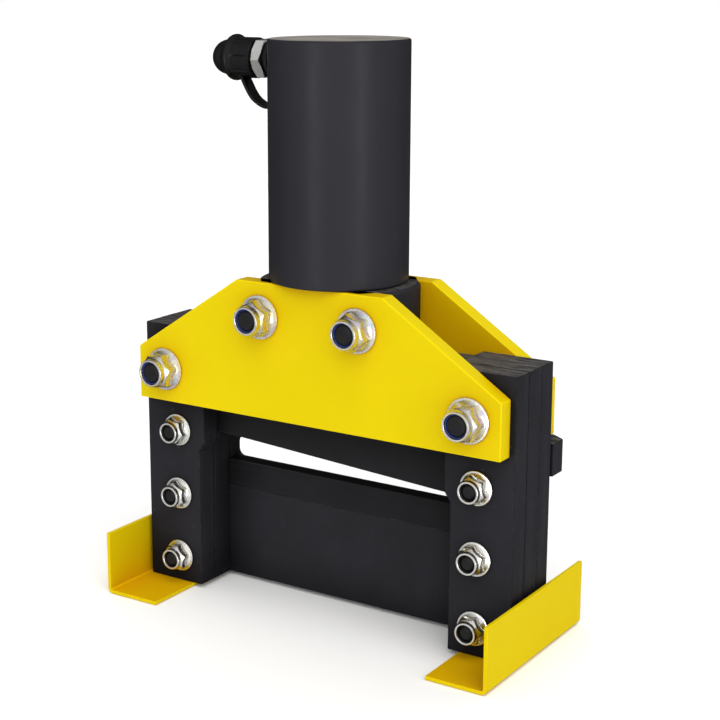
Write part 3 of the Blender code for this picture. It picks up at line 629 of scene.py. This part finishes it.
def slab_node(node, ending, outline, finish, bevel, cutters, body="frame", axis="Y"):
    """A carved slab that stands for one CAD node and is as thick as it along the axis."""
    obj = slab(f"{node}_{ending}", outline, axis, *reach_of(node, axis), finish, bevel)
    carve(obj, cutters)
    place(obj, body, finish, node)


def turned_node(node, ending, rows, axis, finish, body="frame", sides=SIDES, turn=0.0):
    """A turned piece that stands for one CAD node and shares its centre line."""
    obj = turned(f"{node}_{ending}", rows, axis, centre_of(node), finish, sides, turn)
    place(obj, body, finish, node)


# ---- frame

HANDS = ("left", "right")
POST_BOLTS = [f"post_bolt_{word}_{row}" for word in HANDS for row in (1, 2, 3)]
LARGE_BOLTS = [f"large_bolt_{i}" for i in (1, 2, 3, 4)]
BAR_SCREWS = [f"back_bar_screw_{i}" for i in (1, 2, 3, 4)]
LOWER_BLADE_SCREWS = [f"lower_blade_screw_{word}" for word in HANDS]
BLADE_SCREWS = [f"blade_screw_{word}" for word in HANDS]
BEHIND = 0.08  # past every face behind the middle and, with a minus, in front: a cutter's end


def shank_holes(bolts):
    """Cutters for the bolts' shanks, a little wider than they are."""
    holes = []
    for bolt in bolts:
        size = SMALL_BOLT if bolt in POST_BOLTS else LARGE_BOLT
        holes.append(hole(centre_of(bolt), size["shank"] + PLAY, -BEHIND, BEHIND))
    return holes


def tip_hole(node, radius, axis="Y", end=BEHIND):
    """A cutter that starts a little past a screw's tip, which is at the near end of its axis."""
    return hole(centre_of(node), radius, reach_of(node, axis)[0] - PLAY, end, axis)


def head_hole(node, size, play, axis="Y", end=BEHIND):
    """A cutter for a socket screw's shank, with this play, and for its head at the far end."""
    step = reach_of(node, axis)[1] - size["head_height"] - THREAD_PLAY
    return stepped_hole(centre_of(node), size["shank"] + play, step, size["head"] + PLAY, end, axis)


def column_bolts(word):
    outer = LARGE_BOLTS[0] if word == "left" else LARGE_BOLTS[3]
    return [bolt for bolt in POST_BOLTS if word in bolt] + [outer]


def build_columns():
    for side, word in ((-1, "left"), (1, "right")):
        for layer, bevel in (("front_post", 0.0008), ("spacer", 0.0005)):
            node = f"{layer}_{word}"
            low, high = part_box(node)
            outer = max(abs(low.x), abs(high.x))
            inner = min(abs(low.x), abs(high.x))
            outline = [
                (PASS_HALF_WIDTH, low.z), (outer, low.z), (outer, high.z), (inner, high.z),
                (inner, SHOULDER[1]), (PASS_HALF_WIDTH, SHOULDER[0]),
            ]
            cutters = shank_holes(column_bolts(word)) + foot_thread_holes(word, low, high)
            slab_node(node, "plate", mirrored(outline, side), "black_steel", bevel, cutters)


def foot_thread_holes(word, low, high):
    """Cutters for the feet's screws, where they come up into a layer that lies between low and high."""
    below_floor = -0.01
    holes = []
    for end in ("front", "back"):
        node = f"foot_screw_{word}_{end}"
        screw = centre_of(node)
        if low.y < screw.y < high.y:
            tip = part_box(node)[1].z
            holes.append(hole(screw, SCREW_RADIUS + THREAD_PLAY, below_floor, tip + THREAD_PLAY, "Z"))
    return holes


def slot_outline(roof):
    right, floor, ceiling = SLOT_HALF_WIDTH - SLOT_RADIUS, SLOT_FLOOR + SLOT_RADIUS, roof - SLOT_RADIUS
    corners = (
        ((right, floor), -90, 0),
        ((right, ceiling), 0, 90),
        ((-right, ceiling), 90, 180),
        ((-right, floor), 180, 270),
    )
    return [point for centre, start, end in corners for point in arc(centre, SLOT_RADIUS, start, end, 10)]


def slot_cutter(low, high):
    """The slot through the back plate. Its roof rises towards the moving blade."""
    ends = zip(SLOT_ROOFS, (high + PAST, low - PAST))
    rings = [[(x, along, z) for x, z in slot_outline(roof)] for roof, along in ends]
    return lofted("slot", rings, "black_steel")


def build_back_plate():
    low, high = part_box("back_plate")
    guide = abs(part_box("front_post_left")[1].x)
    half = high.x
    outline = [
        (-half, low.z), (half, low.z), (half, high.z), (guide, high.z), (guide, BRIDGE_TOP),
        (-guide, BRIDGE_TOP), (-guide, high.z), (-half, high.z),
    ]
    blade_low, blade_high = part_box("lower_blade")
    into_slot = 0.003
    left, right = blade_low.x - PLAY, blade_high.x + PLAY
    rabbet = rectangle(left, right, blade_low.z - PLAY, blade_high.z + into_slot)
    cutters = [slot_cutter(low.y, high.y)]
    cutters.append(slab("rabbet", rabbet, "Y", low.y - PAST, blade_high.y + PLAY, "black_steel"))
    cutters += shank_holes(POST_BOLTS + [LARGE_BOLTS[0], LARGE_BOLTS[3]])
    for word in HANDS:
        cutters += foot_thread_holes(word, low, high)
        radius, start = SCREW_RADIUS + THREAD_PLAY, low.y + 0.001
        cutters.append(hole(centre_of(f"lower_blade_screw_{word}"), radius, start, BEHIND))
    cutters += [tip_hole(node, BAR_SCREW["shank"] + THREAD_PLAY) for node in BAR_SCREWS]
    slab_node("back_plate", "steel", outline, "black_steel", 0.0008, cutters)


def build_lower_blade():
    low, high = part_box("lower_blade")
    radius = 0.003
    outline = [(low.x, low.z), (high.x, low.z)]
    outline += arc((high.x - radius, high.z - radius), radius, 0, 90, 8)
    outline += arc((low.x + radius, high.z - radius), radius, 90, 180, 8)
    cutters = [tip_hole(node, SCREW_RADIUS + THREAD_PLAY) for node in LOWER_BLADE_SCREWS]
    slab_node("lower_blade", "steel", outline, "tool_steel", 0.0002, cutters)


def build_back_bar():
    low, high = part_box("back_bar")
    chamfer_x, chamfer_y = 0.0095, 0.0068
    half = [(high.x, low.y), (high.x, high.y - chamfer_y), (high.x - chamfer_x, high.y)]
    outline = half + [(-x, y) for x, y in reversed(half)]
    cutters = [hole(centre_of(f"post_bolt_{word}_3"), RELIEF_RADIUS, 0, BEHIND) for word in HANDS]
    cutters += [head_hole(node, BAR_SCREW, THREAD_PLAY) for node in BAR_SCREWS]
    slab_node("back_bar", "steel", outline, "black_steel", 0.0007, cutters, axis="Z")


def build_side_plates():
    for word in ("front", "back"):
        node = f"side_plate_{word}"
        low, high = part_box(node)
        outline = [
            (low.x, low.z), (high.x, low.z), (high.x, PLATE_SHOULDER),
            (PLATE_TOP_HALF_WIDTH, high.z), (-PLATE_TOP_HALF_WIDTH, high.z),
            (low.x, PLATE_SHOULDER),
        ]
        slab_node(node, "painted", outline, "yellow_paint", 0.0008, shank_holes(LARGE_BOLTS))


def build_feet():
    for side, word in ((-1, "left"), (1, "right")):
        low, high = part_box(f"foot_{word}")
        inner, outer = sorted((abs(low.x), abs(high.x)))
        thick, bend = FOOT_THICKNESS, FOOT_BEND
        outline = [(inner, thick), (inner, 0)] + arc((outer - bend, bend), bend, -90, 0, 8)
        outline += [(outer, high.z), (outer - thick, high.z)]
        outline += arc((outer - bend, bend), bend - thick, 0, -90, 4)
        wide, narrow, below, above = 0.0060, 0.0035, -0.001, 0.006
        sink = [(0, below), (wide, below), (wide, 0.0003), (narrow, thick), (narrow, above), (0, above)]
        cutters = []
        for end in ("front", "back"):
            at = centre_of(f"foot_screw_{word}_{end}")
            cutters.append(turned("sink", sink, "Z", at, "dark_bolt", CUTTER_SIDES))
        slab_node(f"foot_{word}", "painted", mirrored(outline, side), "yellow_foot", 0.0006, cutters)


# ---- fasteners


def nut_rows(flange, flats, height, shank, mouth, face):
    """A flanged lock nut from its seat at face, forwards: flange, hexagon, and a collar with a mouth."""
    rim, soft = height * 0.075, 0.0003
    base, foot_of_hex, chamfer, shoulder = rim + soft, height * 0.34, height * 0.55, height * 0.74
    rows = [(shank, 0), (flange - soft, 0), (flange, soft), (flange, rim), (flange - soft, base)]
    rows += [(flange * 0.91, base + 0.0001), (flange * 0.895, base - 0.0002), (flange * 0.88, base)]
    for i in range(1, 9):
        t = i / 8
        cone = flange * 0.88 + (flats * 0.93 - flange * 0.88) * t**0.8
        rows.append((widened(flats, cone), base + (foot_of_hex - base) * t))
    corner = flats / math.cos(SECTOR / 2)
    rows += chamfered(flats, corner, flats * 0.93, chamfer, shoulder, 8)
    rows += [
        (flats * 0.90, shoulder + height * 0.03), (flats * 0.895, height * 0.94),
        (flats * 0.885, height * 0.98), (flats * 0.86, height), (flats * 0.84, height),
        (mouth + flats * 0.05, height), (mouth + flats * 0.035, height),
        (mouth + flats * 0.01, height * 0.98), (mouth, height * 0.95), (mouth, height * 0.80),
        (shank, height * 0.80),
    ]
    return [(radius, face - along) for radius, along in rows]


def build_nut(node, finish, ring_finish, shank, turn):
    """The nut, and the nylon ring that its collar holds."""
    low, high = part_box(node)
    height, flange = high.y - low.y, (high.x - low.x) / 2
    flats, face = flange * 0.725, high.y
    mouth = max(flats * 0.67, shank + 0.001)
    rows = nut_rows(flange, flats, height, shank + PLAY, mouth, face)
    turned_node(node, "steel", rows, "Y", finish, turn=turn)
    inner, outer = shank + 0.0001, mouth - 0.00003
    top, bottom = face - height * 0.925, face - height * 0.81
    rows = [(inner, bottom), (outer, bottom), (outer, top + 0.0003)]
    rows += [(inner + 0.0004, top), (inner, top + 0.0006)]
    turned_node(node, "ring", softened(rows, 0.0002), "Y", ring_finish)


def build_bolt(node, size, turn):
    """A hexagon bolt: chamfered end in the nut, washer face and chamfered head behind."""
    low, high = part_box(node)
    shank, flats = size["shank"], size["flats"]
    tip, top = low.y, high.y
    seat = top - size["head_height"]
    rows = [
        (0, tip), (shank - 0.0020, tip), (shank - 0.0016, tip), (shank - 0.0013, tip + 0.0002),
        (shank, tip + 0.0015), (shank, seat), (flats * 0.95, seat), (flats * 0.95, seat + 0.0005),
    ]
    corner = flats / math.cos(SECTOR / 2)
    rows.append((narrowed(flats, flats * 1.02), seat + 0.0005))
    rows.append((narrowed(flats, corner), seat + 0.0014))
    rows += chamfered(flats, corner, flats * 0.95, top - 0.0017, top, 6)
    rows += [(flats * 0.86, top), (flats * 0.80, top - 0.0003), (0, top - 0.0003)]
    turned_node(node, "steel", rows, "Y", "dark_bolt", turn=turn)


def socket_screw(node, body, axis, size, flip=1):
    """A socket screw along an axis, its head at the far end, or at the near end if flip is -1."""
    tip, top = reach_of(node, axis)[::flip]
    seat = top - flip * size["head_height"]
    shank, head, socket, depth = (size[key] for key in ("shank", "head", "socket", "depth"))
    rows = [
        (0, tip), (shank * 0.8, tip), (shank, tip + flip * 0.001), (shank, seat),
        (head - 0.0002, seat), (head, seat + flip * 0.0002), (head, top - flip * 0.0006),
        (head - 0.0006, top), (narrowed(socket + 0.0003, (socket + 0.0003) * 1.1), top),
        (hexagon(socket), top - flip * 0.0003), (hexagon(socket), top - flip * depth),
        (0, top - flip * depth * 1.15),
    ]
    turned_node(node, "steel", rows, axis, "dark_bolt", body)


def build_button_screw(node):
    """The lower blade's screws: a domed head behind the back plate, with a socket."""
    low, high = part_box(node)
    head, rise, socket, shank, tip = 0.0055, 0.0055, 0.0017, SCREW_RADIUS, 0.0006
    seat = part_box("back_plate")[1].y + PLAY
    rim = seat + 0.0008
    rows = [(0, low.y), (shank - tip, low.y), (shank, low.y + tip), (shank, seat), (head, seat)]
    for angle in (0, 15, 30, 45, 60):
        a = math.radians(angle)
        rows.append((head * math.cos(a), rim + (high.y - rim) * math.sin(a)))
    rows += [
        (hexagon(socket), rows[-1][1] + 0.0001), (hexagon(socket), high.y - rise * 0.6),
        (0, high.y - rise * 0.66),
    ]
    turned_node(node, "steel", rows, "Y", "dark_bolt")


def build_foot_screw(node):
    """A countersunk screw that comes up through the foot, with a socket underneath."""
    low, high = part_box(node)
    socket, head, shank = 0.0018, 0.0056, SCREW_RADIUS
    rows = [
        (0, low.z + 0.0022), (hexagon(socket), low.z + 0.0020), (hexagon(socket), low.z + 0.0001),
        (head - 0.0004, low.z), (head, low.z + 0.0002), (shank, low.z + FOOT_THICKNESS),
        (shank, high.z - 0.0006), (shank - 0.0005, high.z), (0, high.z),
    ]
    turned_node(node, "steel", rows, "Z", "dark_bolt")


def build_fasteners():
    golden = 137.5  # degrees between one nut and the next, so that no two lie alike
    for i, bolt in enumerate(LARGE_BOLTS):
        build_bolt(bolt, LARGE_BOLT, golden * i + 20)
        build_nut(bolt.replace("bolt", "nut"), "zinc_large", "nylon", LARGE_BOLT["shank"], golden * i + 8)
    for i, bolt in enumerate(POST_BOLTS):
        build_bolt(bolt, SMALL_BOLT, golden * i)
        build_nut(bolt.replace("bolt", "nut"), "zinc_small", "rubber", SMALL_BOLT["shank"], golden * i + 14)
    for node in BAR_SCREWS:
        socket_screw(node, "frame", "Y", BAR_SCREW)
    for word in HANDS:
        socket_screw(f"blade_screw_{word}", "ram", "Z", BLADE_SCREW)
        build_button_screw(f"lower_blade_screw_{word}")
        for end in ("front", "back"):
            build_foot_screw(f"foot_screw_{word}_{end}")
    socket_screw("ram_screw", "ram", "Z", RAM_SCREW, flip=-1)


# ---- cylinder and ram


def build_cylinder():
    low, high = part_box("cylinder_body")
    outer = high.x
    rows = [
        (0, high.z - 0.0002), (outer - 0.0016, high.z - 0.0002), (outer - 0.0011, high.z),
        (outer, high.z - 0.0011), (outer, low.z + 0.0009), (outer - 0.0009, low.z),
        (NECK_RADIUS + PLAY, low.z), (NECK_RADIUS + PLAY, NECK_TOP), (BORE_RADIUS, NECK_TOP),
        (BORE_RADIUS, BORE_TOP), (0, BORE_TOP),
    ]
    body = turned("cylinder_body_shell", softened(rows, 0.0005), "Z", CENTRE, "cylinder_black", 2 * SIDES)
    port_radius, port_start, port_end = 0.0069, -0.06, -0.018
    port = hole(PORT_CENTRE, port_radius, port_start, port_end, "X", 36)
    gallery_centre, gallery_radius = (-0.0215, 0, 0), 0.0025
    gallery = hole(gallery_centre, gallery_radius, BORE_TOP - 0.004, PORT_Z, "Z", 24)
    carve(body, [port, gallery])
    place(body, "frame", "cylinder_black", "cylinder_body")


def build_seat():
    low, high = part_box("cylinder_seat")
    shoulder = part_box("side_plate_front")[1].z
    gland, outer = 0.0233, high.x
    rows = [
        (gland, low.z), (outer - 0.001, low.z), (outer, low.z + 0.001), (outer, shoulder - 0.0022),
        (outer - 0.0022, shoulder), (NECK_RADIUS, shoulder), (NECK_RADIUS, high.z), (gland, high.z),
    ]
    seat = turned("cylinder_seat_steel", softened(rows, 0.0004), "Z", CENTRE, "black_steel", 2 * SIDES)
    reach = 0.07
    outline = rectangle(-reach, reach, low.z - 0.01, shoulder + 0.0002)
    cutters = shank_holes(LARGE_BOLTS[1:3])
    for side in (-1, 1):
        near, far = sorted((side * high.y, side * reach))
        cutters.append(slab("flat", outline, "Y", near, far, "black_steel"))
    carve(seat, cutters)
    place(seat, "frame", "black_steel", "cylinder_seat")


def build_gland():
    """The wiper, bush and seal that the rod slides in, and the piston's seal."""
    inner, outer = 0.0192, 0.0230
    for node, finish in (("rod_wiper", "seal"), ("rod_bush", "bronze"), ("rod_seal", "seal")):
        low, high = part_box(node)
        rows = [(outer, low.z), (outer, high.z), (inner, high.z), (inner, low.z), (outer, low.z + 0.0001)]
        turned_node(node, "ring", softened(rows, 0.0004), "Z", finish)
    low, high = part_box("piston_seal")
    middle = (low.z + high.z) / 2
    inner, chamfer = 0.0268, 0.0006
    rows = [
        (inner, low.z), (high.x - chamfer, low.z), (high.x, low.z + chamfer),
        (high.x - 0.0004, middle), (high.x, high.z - chamfer), (high.x - chamfer, high.z),
        (inner, high.z),
    ]
    turned_node("piston_seal", "ring", rows, "Z", "seal", "ram")


def build_ram():
    low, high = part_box("piston_ram")
    rod, thread, groove = 0.019, RAM_SCREW["shank"] + PLAY, 0.0265
    piston_low, groove_low, groove_high = 0.350, 0.358, 0.364
    thread_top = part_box("ram_screw")[1].z + PLAY
    rows = [
        (0, thread_top), (thread, thread_top), (thread, low.z), (rod - 0.001, low.z),
        (rod, low.z + 0.001), (rod, piston_low), (high.x, piston_low), (high.x, groove_low),
        (groove, groove_low), (groove, groove_high), (high.x, groove_high), (high.x, high.z),
        (0, high.z),
    ]
    turned_node("piston_ram", "chromed", softened(rows, 0.0004), "Z", "chromed_rod", "ram", 96)

    low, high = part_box("return_spring")
    wire, turns = 0.0024, 7.85
    start, up, length = (0, 0, low.z), (0, 0, 1), high.z - low.z
    spring = coil("return_spring_wire", high.x - wire, wire, turns, start, up, length, "spring_steel")
    ends = ((0, 0, low.z + 2 * wire), (0, 0, high.z - 2 * wire))
    stretch(spring, "ram", *ends, "spring_steel", "return_spring")


def stretch(obj, body, start, end, finish, *nodes):
    """The piece's place is baked into its mesh, and it stands for these CAD nodes; body, start and end are
    not used.
    """
    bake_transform(obj)
    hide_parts(*nodes)


def build_crosshead():
    low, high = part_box("crosshead")
    outline = rectangle(low.x, high.x, low.z, high.z)
    above = high.z + 0.01
    cutters = [head_hole(node, BLADE_SCREW, PLAY, "Z", above) for node in BLADE_SCREWS]
    head, shank = RAM_SCREW["head"] + PLAY, RAM_SCREW["shank"] + PLAY
    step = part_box("ram_screw")[0].z + RAM_SCREW["head_height"] + THREAD_PLAY
    cutters.append(stepped_hole(centre_of("ram_screw"), head, step, shank, above, "Z"))
    slab_node("crosshead", "block", outline, "black_steel", 0.001, cutters, "ram")


def build_upper_blade():
    low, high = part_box("upper_blade")
    outline = [(low.x, BLADE_EDGE[0]), (high.x, BLADE_EDGE[1]), (high.x, high.z), (low.x, high.z)]
    radius, above = BLADE_SCREW["shank"] + PLAY, high.z + 0.01
    cutters = [tip_hole(node, radius, "Z", above) for node in BLADE_SCREWS]
    slab_node("upper_blade", "steel", outline, "tool_steel", 0.0003, cutters, "ram")


# ---- coupler and dust cap


def threaded(mean, depth, pitch, along):
    """A radius that winds round as a screw thread, read at a distance along the axis."""

    def radius(angle):
        phase = (along / pitch + angle / (2 * math.pi)) % 1
        return mean + depth * (abs(phase - 0.5) * 2 - 0.5)

    return radius


def build_coupler():
    low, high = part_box("port_adapter")
    outer, neck, oil_way, thread = 0.0105, 0.0078, 0.0030, 0.0066
    wall = -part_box("cylinder_body")[1].x
    collar, collar_end = wall - 0.0006, wall - 0.0021
    rows = [
        (oil_way, high.x), (thread - 0.0002, high.x), (thread, high.x - 0.0005), (thread, collar),
        (outer, collar), (outer, collar_end), (neck, collar_end), (neck, low.x), (oil_way, low.x),
    ]
    turned_node("port_adapter", "steel", softened(rows, 0.0002), "X", "dark_bolt")

    low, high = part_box("coupler_body")
    flats, hex_end, nose, bore, seat = 0.0125, -0.0632, 0.0098, 0.0044, -0.070
    corner = flats / math.cos(SECTOR / 2)
    rows = [(oil_way, high.x), (flats * 0.95, high.x)]
    rows += chamfered(flats, flats * 0.97, corner, high.x, high.x - 0.0007, 5)
    rows += chamfered(flats, corner, flats * 0.97, hex_end + 0.0014, hex_end, 5)
    rows += [(nose + 0.0006, hex_end), (nose - 0.0004, hex_end - 0.0008)]
    steps = 54
    first, last, pitch = hex_end - 0.0012, low.x + 0.0062, 0.0015
    for i in range(steps + 1):
        along = first + (last - first) * i / steps
        rows.append((threaded(nose - 0.00035, 0.0006, pitch, along), along))
    tip, groove = 0.0094, 0.0088
    rows += [
        (groove, low.x + 0.0056), (groove, low.x + 0.0045), (tip, low.x + 0.0040),
        (tip, low.x + 0.0012), (tip - 0.0008, low.x), (bore + 0.0006, low.x),
        (bore, low.x + 0.0006), (bore, seat), (oil_way, seat),
    ]
    turned_node("coupler_body", "nickel", rows, "X", "nickel", turn=3)

    low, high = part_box("coupler_poppet")
    nose, radius = 0.0026, 0.0040
    rows = [(0, low.x), (nose, low.x), (radius, low.x + 0.0022), (radius, high.x), (0, high.x)]
    turned_node("coupler_poppet", "steel", softened(rows, 0.0004), "X", "nickel", "poppet", 48)

    low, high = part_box("poppet_spring")
    mean, wire, turns = 0.0034, 0.0004, 4
    start, out, length = (high.x, 0, PORT_Z), (-1, 0, 0), high.x - low.x
    spring = coil("poppet_spring_wire", mean, wire, turns, start, out, length, "spring_steel", 24, 8)
    ends = ((high.x - 2 * wire, 0, PORT_Z), (low.x + 2 * wire, 0, PORT_Z))
    stretch(spring, "poppet", *ends, "spring_steel", "poppet_spring")


def fluted(radius, depth, count):
    """A radius with narrow grooves along the axis, for grip."""
    return lambda angle: radius - depth * max(0.0, math.cos(count * angle / 2)) ** 24


def build_dust_cap():
    low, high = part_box("dust_cap")
    rim, wall, inside = high.x, 0.0101, -0.0875
    barrel, bead, bead_x, dome, dome_x = 0.0138, 0.0158, -0.0834, 0.0120, -0.0893
    grooves, first, last, steps = 8, rim - 0.0012, -0.0800, 10
    rows = [(0, inside), (wall - 0.0004, inside), (wall, inside + 0.0004), (wall, rim - 0.0004)]
    rows += [(wall + 0.0004, rim), (barrel - 0.0006, rim), (barrel, rim - 0.0006)]
    for i in range(steps + 1):
        depth = 0.0008 * min(1, i / 2, (steps - i) / 2)
        rows.append((fluted(barrel, depth, 2 * grooves), first + (last - first) * i / steps))
    swell = arc((bead_x, bead - 0.0026), 0.0026, 35, 145, 10)
    rows += [(radius, along) for along, radius in swell]
    rows += [(dome + 0.0012, bead_x - 0.0034), (dome + 0.0004, dome_x + 0.0010)]
    for angle in range(2, 90, 8):
        a = math.radians(angle)
        rows.append((dome * math.cos(a), dome_x - (dome_x - low.x) * math.sin(a)))
    rows.append((0, low.x))
    turned_node("dust_cap", "rubber", rows, "X", "rubber", "dust_cap", 2 * SIDES, turn=-8)


STRAP_ROUTE = [
    (-0.0768, 0.3712), (-0.0757, 0.3690), (-0.0720, 0.3624), (-0.0680, 0.3571), (-0.0638, 0.3541),
    (-0.0596, 0.3520), (-0.0555, 0.3514), (-0.0526, 0.3532), (-0.0515, 0.3575), (-0.0514, 0.3635),
    (-0.0517, 0.3722),
]


def smooth_route(route, steps):
    """Points of a smooth curve through the route's own points."""
    points = [Vector((x, 0, z)) for x, z in route]
    padded = [points[0] * 2 - points[1]] + points + [points[-1] * 2 - points[-2]]
    curve = []
    for a, b, c, d in zip(padded, padded[1:], padded[2:], padded[3:]):
        slope, bend, twist = c - a, a * 2 - b * 5 + c * 4 - d, b * 3 - a - c * 3 + d
        for i in range(steps):
            t = i / steps
            curve.append((b * 2 + slope * t + bend * t**2 + twist * t**3) / 2)
    return curve + [points[-1]]


def build_strap():
    """The cap's rubber strap, and the ring that holds it in the adapter's groove."""
    width, thickness, corner = 0.0105, 0.0024, 0.0009
    w, t = width / 2 - corner, thickness / 2 - corner
    section = arc((w, t), corner, 0, 90, 4) + arc((-w, t), corner, 90, 180, 4)
    section += arc((-w, -t), corner, 180, 270, 4) + arc((w, -t), corner, 270, 360, 4)
    across = Vector((0, 1, 0))

    def square(forward):
        return across, across.cross(forward)

    band = sweep("dust_cap_strap_band", smooth_route(STRAP_ROUTE, 8), section, square, "rubber")
    start, end = Vector((STRAP_ROUTE[-1][0], 0, PORT_Z)), Vector((STRAP_ROUTE[1][0], 0, PORT_Z))
    stretch(band, "dust_cap", start, end, "rubber", "dust_cap_strap")
    inner, outer, near, far = 0.0083, 0.0128, -0.0503, -0.0531
    middle = (near + far) / 2
    rows = [(inner, middle), (inner, near), (outer, near), (outer, far), (inner, far)]
    rows = softened(rows + [(inner, middle - 0.0001)], 0.0006)
    ring = turned("strap_ring_rubber", rows, "X", PORT_CENTRE, "rubber")
    place(ring, "frame", "rubber", "dust_cap_strap")


# ---- camera, floor and light


def make_camera():
    lens = bpy.data.cameras.new("camera")
    lens.lens = CAMERA_LENS
    lens.shift_x, lens.shift_y = CAMERA_SHIFT
    lens.clip_end = 50
    camera = added("camera", lens)
    turn = Matrix.Rotation(math.radians(CAMERA_TURN), 4, "Z")
    tilt = Matrix.Rotation(math.radians(90 - CAMERA_TILT), 4, "X")
    roll = Matrix.Rotation(math.radians(CAMERA_ROLL), 4, "Z")
    camera.matrix_world = Matrix.Translation(CAMERA_PLACE) @ turn @ tilt @ roll
    bpy.context.scene.camera = camera


def make_floor():
    build = bmesh.new()
    bmesh.ops.create_grid(build, x_segments=8, y_segments=8, size=12)
    floor = piece("floor", build, "pale_floor")
    floor.location.z = -0.0004
    floor.visible_glossy = False


def place_light(name, kind, azimuth, elevation, distance, strength):
    """A light at this azimuth from the front (-Y), turned to the right, aimed at the object's middle."""
    light = bpy.data.lights.new(name, kind)
    light.energy = strength
    obj = added(name, light)
    a, e = math.radians(azimuth), math.radians(elevation)
    out = Vector((math.sin(a) * math.cos(e), -math.cos(a) * math.cos(e), math.sin(e)))
    obj.location = Vector((0, 0, 0.2)) + out * distance
    obj.rotation_euler = (-out).to_track_quat("-Z", "Y").to_euler()
    obj.visible_glossy = kind == "AREA"
    return light


def make_world():
    """An even white fill. In reflections it is bright towards the front and dark behind, as in a studio."""
    world = bpy.data.worlds.new("studio")
    world.use_nodes = True
    tree = world.node_tree
    white = (1.0, 1.0, 1.0, 1.0)
    fills = [add_node(tree, "Background", Color=white, Strength=fill) for fill in (WORLD_FILL, 1.0, 1.0)]
    spread, reflected, seen = fills
    towards_front = add_node(tree, "VectorMath")
    towards_front.operation = "DOT_PRODUCT"
    tree.links.new(add_node(tree, "TexCoord").outputs["Generated"], towards_front.inputs[0])
    towards_front.inputs[1].default_value = REFLECTED_FROM
    share = map_range(tree, towards_front.outputs["Value"], -0.5, 1.0, *REFLECTED_RANGE)
    tree.links.new(share, reflected.inputs["Strength"])
    path = add_node(tree, "LightPath")
    shown = spread.outputs[0]
    for ray, other in (("Is Glossy Ray", reflected), ("Is Camera Ray", seen)):
        either = add_node(tree, "MixShader")
        for source, socket in zip((path.outputs[ray], shown, other.outputs[0]), either.inputs):
            tree.links.new(source, socket)
        shown = either.outputs[0]
    tree.links.new(shown, tree.nodes["World Output"].inputs["Surface"])
    bpy.context.scene.world = world


def make_light():
    """A broad key from the right and above, a weak one behind, and two tall strips for the cylinder."""
    key = place_light("key", "SUN", 43, 49, 2, KEY_STRENGTH)
    key.angle = math.radians(70)
    back = place_light("back", "SUN", 215, 40, 2, BACK_STRENGTH)
    back.angle = math.radians(90)
    for name, azimuth in (("front_strip", -6), ("side_strip", 68)):
        strip = place_light(name, "AREA", azimuth, -4, 1.6, STRIP_POWER)
        strip.shape = "RECTANGLE"
        strip.size, strip.size_y = 0.2, 1.2


def main():
    bpy.context.scene.view_settings.view_transform = "Standard"
    make_camera()
    make_floor()
    make_world()
    make_light()
    build_columns()
    build_back_plate()
    build_lower_blade()
    build_back_bar()
    build_side_plates()
    build_feet()
    build_fasteners()
    build_cylinder()
    build_seat()
    build_gland()
    build_ram()
    build_crosshead()
    build_upper_blade()
    build_coupler()
    build_dust_cap()
    build_strap()


main()
